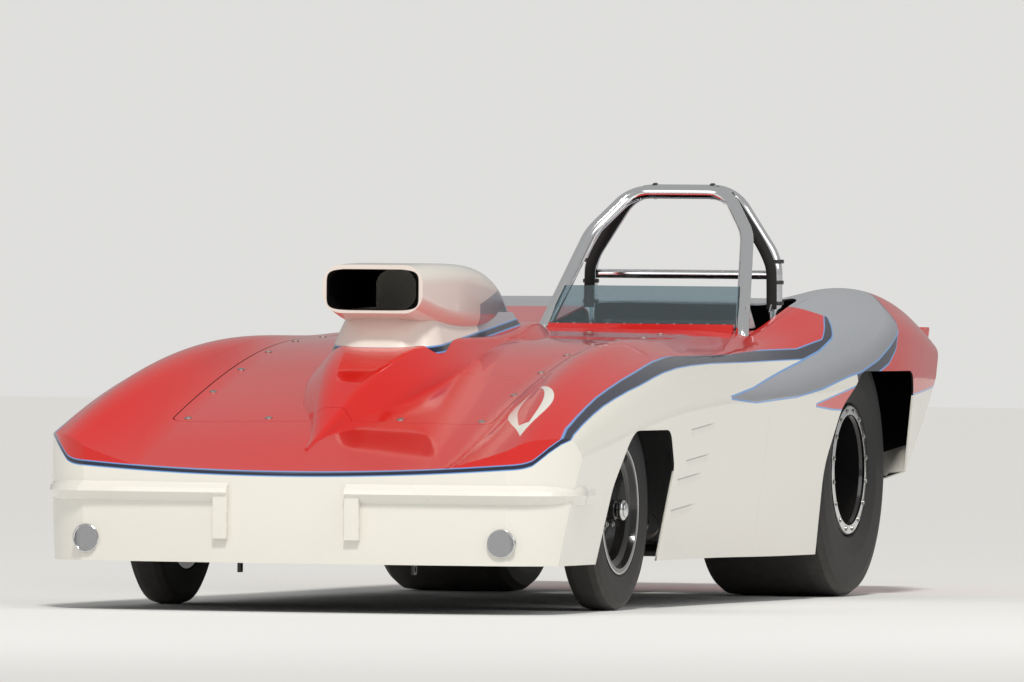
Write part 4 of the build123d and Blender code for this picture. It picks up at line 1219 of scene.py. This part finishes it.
@dataclass
class FrontWheels(Wheels):
    """Hub cap, ring of nuts with their studs and bright rim edge on each front wheel."""

    end: str = "front"
    cap: tuple[Disc, ...] = (Disc(0.008, 0.034, 0.020, 36, 0.006), Disc(0.020, 0.024, 0.008, 32, 0.003))
    nut: tuple[Disc, ...] = (Disc(0.007, 0.0105, 0.016, 6, 0.0015), Disc(0.016, 0.006, 0.006, 12, 0.001))
    nut_circle: float = 0.057
    rim_edge: Ring = Ring(0.2035, 0.0035, 96, 10)
    rim_inset: float = 0.0025

    def build(self) -> None:
        """Models both wheels' small parts."""
        for side, sign in SIDES:
            self.add_cap_and_nuts(side, sign)
            out = Vector((sign, 0, 0))
            at = self.hub(side) + Vector((sign * (self.outer(side) - self.rim_inset), 0, 0))
            self.mount("front_rim_edge", side, [self.shop.ring(at, out, self.rim_edge)], "polished")


@dataclass
class RearWheels(Wheels):
    """Bead ring with its bolts and washers, hub cap and nuts on each rear wheel."""

    end: str = "rear"
    cap: tuple[Disc, ...] = (Disc(0.010, 0.046, 0.030, 40, 0.008), Disc(0.027, 0.030, 0.008, 32, 0.003))
    nut: tuple[Disc, ...] = (Disc(0.010, 0.013, 0.022, 6, 0.002),)
    nut_circle: float = 0.066
    bolt: tuple[Disc, ...] = (Disc(0.0065, 0.0075, 0.007, 6, 0.001), Disc(0.0045, 0.0105, 0.002, 20))
    bolt_count: int = 16
    bolt_inset: float = 0.016
    ring_width: float = 0.030
    ring_inset: float = 0.002
    ring_depth: float = 0.006
    ring_sides: int = 96

    def build(self) -> None:
        """Models both wheels' small parts."""
        for side, sign in SIDES:
            low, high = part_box(f"rear_wheel_{side}")
            rim, out, hub = (high[2] - low[2]) / 2, Vector((sign, 0, 0)), self.hub(side)
            outer = self.outer(side) * sign
            at = (outer + sign * self.ring_inset, hub.y, hub.z)
            flat, core = self.shop.stack(at, out, (
                Disc(0.0, rim - self.ring_inset, self.ring_depth, self.ring_sides, 0.001),
                Disc(0.0, rim - self.ring_width, 0.020, self.ring_sides)))
            self.shop.open_up(flat, core)
            self.mount("bead_ring", side, [flat], "polished")
            face = Vector((outer, hub.y, hub.z))
            bolts: list[Thing] = []
            for spoke in spokes(self.bolt_count, math.pi / self.bolt_count):
                bolts += self.shop.stack(face + spoke * (rim - self.bolt_inset), out, self.bolt)
            self.mount("bead_bolts", side, bolts, "bolt_zinc")
            self.add_cap_and_nuts(side, sign)


@dataclass
class Cage(Detail):
    """Foam pads and clamps on the main hoop."""

    top: float = 1.3575
    pad_ahead: float = 0.033
    pad_radius: float = 0.018
    leg: Profile = ((0.318, 0.965), (0.318, 1.05), (0.314, 1.125), (0.23, 1.26), (0.166, 1.345))
    top_half: float = 0.13
    leg_clamps: tuple[float, ...] = (0.985, 1.055, 1.125)
    leg_x: float = 0.322
    top_clamps: tuple[float, ...] = (-0.10, 0.10)
    band: Disc = Disc(0.0, 0.0275, 0.013, 32, 0.002)
    screw: Triple = (0.012, 0.010, 0.010)
    screw_edge: float = 0.002
    screw_ahead: float = 0.030

    def clamp(self, at: Vector, axis: Point) -> list[Thing]:
        """A band round a hoop and its pad, with a screw.

        Args:
            at: The middle of the tube.
            axis: The tube's direction.
        Returns:
            The band and the screw.
        """
        band = self.shop.disc(at, axis, self.band)
        place = at + Vector((0, -self.screw_ahead, 0))
        return [band, self.shop.block(place, self.screw, self.screw_edge)]

    def build(self) -> None:
        """Models the three pads and the clamps."""
        y, hoop = self.aft(HOOP_AFT) - self.pad_ahead, self.aft(HOOP_AFT)
        pads = {side: [(CAGE_X + sign * x, y, z) for x, z in self.leg] for side, sign in SIDES}
        pads["top"] = [(CAGE_X + step * self.top_half, y, self.top) for step in (1, 0, -1)]
        for name, path in pads.items():
            pad = self.shop.rod(path, self.pad_radius)
            piece = self.shop.finish(f"hoop_pad_{name}", [pad], "pad_foam")
        bands: list[Thing] = []
        for _, sign in SIDES:
            for height in self.leg_clamps:
                bands += self.clamp(Vector((CAGE_X + sign * self.leg_x, hoop, height)), UP)
        for x in self.top_clamps:
            bands += self.clamp(Vector((CAGE_X + x, hoop, self.top)), (1, 0, 0))
        self.shop.finish("pad_clamps", bands, "frame_paint", slot="frame_paint")


@dataclass
class Cockpit(Detail):
    """Seat cushion, harness straps with their buckle, and the dials."""

    over_seat: tuple[float, float] = (1.90, 0.95)  # a place over the seat's pan
    before_back: tuple[float, float] = (1.80, 0.30)  # a place ahead of its back, over the pan
    side_height: float = 0.06  # where the lap straps meet its sides, over the pan
    cushion_front: float = 1.74
    cushion: tuple[float, float] = (0.36, 0.045)  # width and height
    cushion_short: float = 0.05  # how much shorter it is than the pan
    cushion_ahead: float = 0.02
    cushion_lift: float = 0.022
    cushion_edge: float = 0.018
    strap_x: float = 0.085
    strap_lean: float = 0.02 / 0.26  # towards the buckle, per metre down
    strap_lift: float = 0.008
    strap_heights: tuple[float, ...] = (0.40, 0.34, 0.26, 0.20, 0.14)
    strap_radius: float = 0.004
    strap_width: float = 5.5  # times its thickness
    lap_side: Triple = (0.006, 1.97, 0.075)  # in from the side, aft, up
    lap: tuple[Triple, ...] = ((0.12, 1.955, 0.062), (0.02, 1.93, 0.058))
    buckle: Disc = Disc(0.0, 0.030, 0.024, 32, 0.004)
    buckle_place: tuple[float, float] = (1.925, 0.058)  # aft, over the pan
    buckle_axis: Triple = (0, -0.3, 1)
    dials: Profile = ((-0.17, 0.034), (-0.08, 0.028), (0.08, 0.028), (0.17, 0.034))
    dial_height: float = 0.115  # over the panel's foot
    dial_probe: float = 0.2  # how far behind the panel a line towards it starts
    bezel_wire: float = 0.004
    bezel_lift: float = 0.006
    margin: float = 0.002  # a dial's plate is wider than its bezel's line, its face narrower
    hand_place: Triple = (0.2, 0.009, 0.25)  # across and up in radii, and off the panel
    hand_size: Triple = (0.003, 0.002, 1.1)  # its length in radii
    hand_edge: float = 0.0005
    hand_turn: float = math.radians(40)

    def build(self) -> None:
        """Models what lies on the seat, and the dials."""
        distance, height = self.over_seat
        floor = self.spot("seat", (CAGE_X, self.aft(distance), height), DOWN).z
        self.add_cushion(floor)
        self.add_harness(floor)
        self.add_dials()

    def add_cushion(self, floor: float) -> None:
        """The seat's cushion.

        Args:
            floor: Height of the seat's pan.
        """
        distance, lift = self.before_back
        back = self.spot("seat", (CAGE_X, self.aft(distance), floor + lift), AFT).y
        front, (width, height) = self.aft(self.cushion_front), self.cushion
        at = (CAGE_X, (front + back) / 2 - self.cushion_ahead, floor + self.cushion_lift)
        size = (width, back - front - self.cushion_short, height)
        cushion = self.shop.block(at, size, self.cushion_edge)
        piece = self.shop.finish("seat_cushion", [cushion], "seat_pad", slot="seat_pad")

    def add_harness(self, floor: float) -> None:
        """Short shoulder straps on the seat back, lap straps and the buckle.

        Args:
            floor: Height of the seat's pan.
        """
        straps: list[Thing] = []
        top, ahead = self.strap_heights[0], self.aft(self.before_back[0])
        for _, sign in SIDES:
            points = []
            for height in self.strap_heights:
                start = (CAGE_X + sign * self.strap_x, ahead, floor + height)
                spot = self.spot("seat", start, AFT)
                lean = sign * self.strap_lean * (top - height)
                points.append((spot.x - lean, spot.y - self.strap_lift, spot.z))
            strap = self.shop.rod(points, self.strap_radius)
            self.shop.widen(strap, self.strap_width)
            inset, distance, lift = self.lap_side
            start = (CAGE_X, self.aft(distance), floor + self.side_height)
            side = self.spot("seat", start, (sign, 0, 0))
            lap = [(side.x - sign * inset, side.y, floor + lift)]
            lap += [(CAGE_X + sign * x, self.aft(run), floor + up) for x, run, up in self.lap]
            straps += [strap, self.shop.rod(lap, self.strap_radius)]
        self.shop.finish("harness_straps", straps, "webbing")
        distance, lift = self.buckle_place
        at = (CAGE_X, self.aft(distance), floor + lift)
        buckle = self.shop.disc(at, self.buckle_axis, self.buckle)
        self.shop.finish("harness_buckle", [buckle], "polished")

    def add_dials(self) -> None:
        """Bezels, faces and hands of the dials on the dash."""
        low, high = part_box("dash_panel")
        bezels, faces, hands = [], [], []
        for x, radius in self.dials:
            start = (CAGE_X + x, high[1] + self.dial_probe, low[2] + self.dial_height)
            spot = self.spot("dash_panel", start, FORE)
            at, ring = spot + Vector((0, self.bezel_lift, 0)), Ring(radius, self.bezel_wire, 48, 8)
            bezels.append(self.shop.ring(at, AFT, ring))
            plate = Disc(self.margin, radius + self.margin, 0.006, 40, 0.001)
            bezels.append(self.shop.disc(spot, AFT, plate))
            face = Disc(self.bezel_lift, radius - self.margin, 0.003, 40)
            faces.append(self.shop.disc(spot, AFT, face))
            across, off, up = self.hand_place
            at, (wide, deep, long) = spot + Vector((radius * across, off, radius * up)), self.hand_size
            turn = (0, self.hand_turn, 0)
            hands.append(self.shop.block(at, (wide, deep, radius * long), self.hand_edge, turn))
        self.shop.finish("dial_bezels", bezels, "polished")
        self.shop.finish("dial_faces", faces, "dial")
        self.shop.finish("dial_hands", hands, "red_paint")


@dataclass
class Lamps(Detail):
    """Bezels round the front signals and the tail lamps."""

    signal_wire: float = 0.004
    signal_inset: float = 0.016
    signal_lean: float = 0.1
    tail_x: tuple[float, ...] = (-0.56, -0.40, 0.40, 0.56)
    tail_ring: Ring = Ring(0.044, 0.0035, 56, 10)
    tail_facing: Triple = (0, 0.625, -0.781)
    tail_reach: float = 0.4

    def build(self) -> None:
        """Models both sets of bezels."""
        rings = []
        for side, sign in SIDES:
            low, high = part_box(f"signal_{side}")
            centre = middle_of(f"signal_{side}")
            at = (centre.x, low[1] + self.signal_inset, centre.z)
            ring = Ring((high[2] - low[2]) / 2, self.signal_wire, 64, 10)
            rings.append(self.shop.ring(at, (sign * self.signal_lean, -1, 0), ring))
        self.shop.finish("signal_bezels", rings, "polished")
        out, middle = Vector(self.tail_facing).normalized(), middle_of("tail_lamps")
        rings = []
        for x in self.tail_x:
            start = Vector((x, middle.y, middle.z)) + out * self.tail_reach
            rings.append(self.shop.ring(self.spot("tail_lamps", start, -out), out, self.tail_ring))
        self.shop.finish("tail_lamp_bezels", rings, "polished")


@dataclass
class Engine(Detail):
    """Rocker covers, a ribbed pan, exhaust flanges and pulleys on the plain block."""

    cover: Triple = (0.13, 0.46, 0.034)
    cover_edge: float = 0.010
    cover_x: float = 0.23
    cover_lift: float = 0.012
    cover_rib: Triple = (0.006, 0.42, 0.008)
    cover_rib_edge: float = 0.002
    cover_rib_x: tuple[float, ...] = (-0.04, -0.02, 0.0, 0.02, 0.04)
    cover_rib_lift: float = 0.030
    cover_screw: Disc = Disc(0.032, 0.007, 0.008, 6, 0.001)
    cover_screw_x: float = 0.055
    cover_screw_y: tuple[float, ...] = (-0.18, -0.06, 0.06, 0.18)
    pan_rib: Triple = (0.008, 0.36, 0.014)
    pan_rib_edge: float = 0.003
    pan_rib_x: tuple[float, ...] = (-0.12, -0.08, -0.04, 0.0, 0.04, 0.08, 0.12)
    pan_rib_lift: float = -0.003
    plug_aft: float = 0.21
    plug: Disc = Disc(-0.004, 0.012, 0.014, 6, 0.002)
    flange_place: tuple[float, float] = (0.548, 0.446)  # behind the front axle, and up
    flange: Disc = Disc(0.005, 0.064, 0.012, 40, 0.002)
    flange_screw: Disc = Disc(0.013, 0.007, 0.008, 6, 0.001)
    flange_circle: float = 0.055
    flange_screws: tuple[int, float] = (3, 0.5)  # how many, and the first one's angle
    pulleys: tuple[Triple, ...] = (  # across, over the pan, radius
        (0.0, 0.15, 0.075), (0.0, 0.34, 0.060), (0.13, 0.30, 0.038))
    pulley_hub: float = 0.4  # of its pulley's radius

    def build(self) -> None:
        """Models all that stands on the block."""
        self.add_covers()
        self.add_pan()
        self.add_flanges()
        self.add_pulleys()

    def add_covers(self) -> None:
        """Two ribbed rocker covers with their screws."""
        middle, top = middle_of("engine_block"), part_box("engine_block")[1][2]
        covers, screws = [], []
        for _, sign in SIDES:
            spot = self.spot("engine_block", (sign * self.cover_x, middle.y, top + CLEAR), DOWN)
            at = spot + Vector((0, 0, self.cover_lift))
            covers.append(self.shop.block(at, self.cover, self.cover_edge))
            for x in self.cover_rib_x:
                at = spot + Vector((sign * x, 0, self.cover_rib_lift))
                covers.append(self.shop.block(at, self.cover_rib, self.cover_rib_edge))
            for y in self.cover_screw_y:
                seat = spot + Vector((sign * self.cover_screw_x, y, 0))
                screws.append(self.shop.disc(seat, UP, self.cover_screw))
        self.shop.finish("rocker_covers", covers, "cast_case", slot="cast_case")
        self.shop.finish("rocker_cover_screws", screws, "bolt_zinc")

    def add_pan(self) -> None:
        """Ribs under the pan, and the drain plug."""
        middle, foot = middle_of("engine_block"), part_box("engine_block")[0][2]
        pan = self.spot("engine_block", (0, middle.y, foot - CLEAR), UP)
        places = [pan + Vector((x, 0, self.pan_rib_lift)) for x in self.pan_rib_x]
        ribs = [self.shop.block(place, self.pan_rib, self.pan_rib_edge) for place in places]
        self.shop.finish("pan_ribs", ribs, "cast_case", slot="cast_case")
        plug = self.shop.disc(pan + Vector((0, self.plug_aft, 0)), UP, self.plug)
        self.shop.finish("drain_plug", [plug], "bolt_zinc")

    def add_flanges(self) -> None:
        """A flange with three screws where each exhaust pipe leaves the block."""
        distance, height = self.flange_place
        flanges, screws = [], []
        for _, sign in SIDES:
            out = Vector((sign, 0, 0))
            spot = self.spot("engine_block", (sign * REACH, self.aft(distance), height), -out)
            flanges.append(self.shop.disc(spot, out, self.flange))
            for spoke in spokes(*self.flange_screws):
                seat = spot + spoke * self.flange_circle
                screws.append(self.shop.disc(seat, out, self.flange_screw))
        self.shop.finish("exhaust_flanges", flanges, "pipe_steel", slot="pipe_steel")
        self.shop.finish("flange_screws", screws, "bolt_zinc")

    def add_pulleys(self) -> None:
        """Pulleys with their hubs on the front of the block."""
        low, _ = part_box("engine_block")
        pulleys: list[Thing] = []
        for x, height, radius in self.pulleys:
            spot = self.spot("engine_block", (x, low[1] - CLEAR, low[2] + height), AFT)
            pulleys += self.shop.stack(spot, AFT, (
                Disc(-0.016, radius, 0.034, 48, 0.003),
                Disc(-0.036, radius * self.pulley_hub, 0.012, 24, 0.002)))
        self.shop.finish("drive_pulleys", pulleys, "polished")


@dataclass(frozen=True)
class Studio:
    """Camera, light and floor.

    Args:
        lens: Focal length in millimetres, from the fit to the photograph.
        sensor: Sensor width in millimetres.
        forward: Where the camera looks.
        right: The picture's right.
        place: The camera's place, Y from the front axle.
        clip_end: How far it sees, in metres.
        daylight: Colour and strength of the light from all round.
        surround: Colour and strength that the camera sees behind the car.
        sun: Strength and angular width in degrees.
        sun_colour: Its colour.
        sun_from: Where it stands.
        banks: Soft banks of light: name, place, size and watts.
        bank_target: Where they point.
        floor_side: Side of the floor, in metres.
        floor_roughness: Its roughness.
    """

    lens: float = 541.5
    sensor: float = 36.0
    forward: Triple = (-0.29284, 0.95615, -0.00381)
    right: Triple = (0.95611, 0.29286, 0.00941)
    place: Triple = (14.8759, -47.2118, 1.0472)
    clip_end: float = 400.0
    daylight: tuple[Colour, float] = ((0.97, 0.97, 0.96), 0.38)
    surround: tuple[Colour, float] = ((0.74, 0.735, 0.72), 1.0)
    sun: tuple[float, float] = (1.9, 9.0)
    sun_colour: Colour = (1.0, 0.97, 0.92)
    sun_from: Triple = (0.25, -0.62, 1.0)
    banks: tuple[tuple[str, Triple, float, float], ...] = (
        ("left_bank", (7.0, -3.0, 4.5), 5.0, 130.0), ("nose_bank", (-3.0, -8.0, 4.0), 5.0, 90.0))
    bank_target: Triple = (0.0, 0.0, 0.5)
    floor_side: float = 160.0
    floor_roughness: float = 0.85

    @staticmethod
    def stand(name: str, data: bpy.types.ID) -> Thing:
        """Puts a camera or a lamp into the scene.

        Args:
            name: Its name.
            data: What it is.
        Returns:
            The new object.
        """
        obj = bpy.data.objects.new(name, data)
        bpy.context.collection.objects.link(obj)
        return obj

    @staticmethod
    def aim(way: Vector) -> Euler:
        """Euler angles of a lamp that shines against this way."""
        return way.to_track_quat("Z", "Y").to_euler()

    def camera(self) -> None:
        """The camera fitted to the photograph."""
        data = bpy.data.cameras.new("photo_camera")
        data.lens, data.sensor_width, data.sensor_fit = self.lens, self.sensor, "HORIZONTAL"
        data.clip_end = self.clip_end
        camera = self.stand("photo_camera", data)
        forward, right = Vector(self.forward).normalized(), Vector(self.right).normalized()
        up = right.cross(forward).normalized()
        camera.rotation_euler = Matrix((right, up, -forward)).transposed().to_euler()
        camera.location = (self.place[0], self.place[1] + front_axle_y(), self.place[2])
        bpy.context.scene.camera = camera

    def light(self) -> None:
        """A pale surround, soft daylight from above and ahead, and two banks."""
        bpy.context.scene.view_settings.view_transform = "Standard"
        self.world()
        sun = bpy.data.lights.new("sun", "SUN")
        sun.energy, sun.angle, sun.color = self.sun[0], math.radians(self.sun[1]), self.sun_colour
        self.stand("sun", sun).rotation_euler = self.aim(Vector(self.sun_from))
        for name, place, size, watts in self.banks:
            area = bpy.data.lights.new(name, "AREA")
            area.energy, area.size = watts, size
            bank = self.stand(name, area)
            bank.location = place
            bank.rotation_euler = self.aim(Vector(place) - Vector(self.bank_target))

    def world(self) -> None:
        """Plain light all round, and a paler surround that only the camera sees."""
        world = bpy.data.worlds.new("surround")
        bpy.context.scene.world = world
        world.use_nodes = True
        nodes, link = world.node_tree.nodes, world.node_tree.links.new
        nodes.clear()
        output, mix = nodes.new("ShaderNodeOutputWorld"), nodes.new("ShaderNodeMixShader")
        path = nodes.new("ShaderNodeLightPath")
        link(path.outputs["Is Camera Ray"], mix.inputs[0])
        for socket, (colour, strength) in zip(mix.inputs[1:], (self.daylight, self.surround)):
            background = nodes.new("ShaderNodeBackground")
            background.inputs["Color"].default_value = (*colour, 1.0)
            background.inputs["Strength"].default_value = strength
            link(background.outputs[0], socket)
        link(mix.outputs[0], output.inputs["Surface"])

    def floor(self) -> None:
        """A wide pale floor, clear when seen from below."""
        bpy.ops.mesh.primitive_plane_add(size=self.floor_side, location=(0, 0, 0))
        floor = bpy.context.active_object
        floor.name = floor.data.name = "floor"
        t = Tree("floor")
        t.plug(Hue.FLOOR, t.surface.inputs["Base Color"])
        t.plug(self.floor_roughness, t.surface.inputs["Roughness"])
        blend, clear = t.node("ShaderNodeMixShader"), t.node("ShaderNodeBsdfTransparent")
        t.plug(t.node("ShaderNodeNewGeometry").outputs["Backfacing"], blend.inputs[0])
        t.plug(t.surface.outputs["BSDF"], blend.inputs[1])
        t.plug(clear.outputs[0], blend.inputs[2])
        t.plug(blend.outputs[0], t.output.inputs["Surface"])
        floor.data.materials.append(t.material)


def main() -> None:
    """Loads the frame, dresses it, and adds the small parts, the light and the floor."""
    logging.basicConfig(level=logging.INFO)
    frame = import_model()
    bpy.ops.object.select_all(action="DESELECT")
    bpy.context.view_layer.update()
    studio = Studio()
    studio.camera()
    finishes = Finishes()
    finishes.dress(frame)
    shop = Workshop(finishes)
    for group in (Fasteners, FrontWheels, RearWheels, Cage, Cockpit, Lamps, Engine):
        known = len(shop.made)
        group(frame, shop).build()
        for piece in shop.made[known:]:
            LOG.info("%s: %s, %d faces", group.__name__, piece.name, len(piece.data.polygons))
    studio.light()
    studio.floor()


if __name__ == "__main__":
    main()
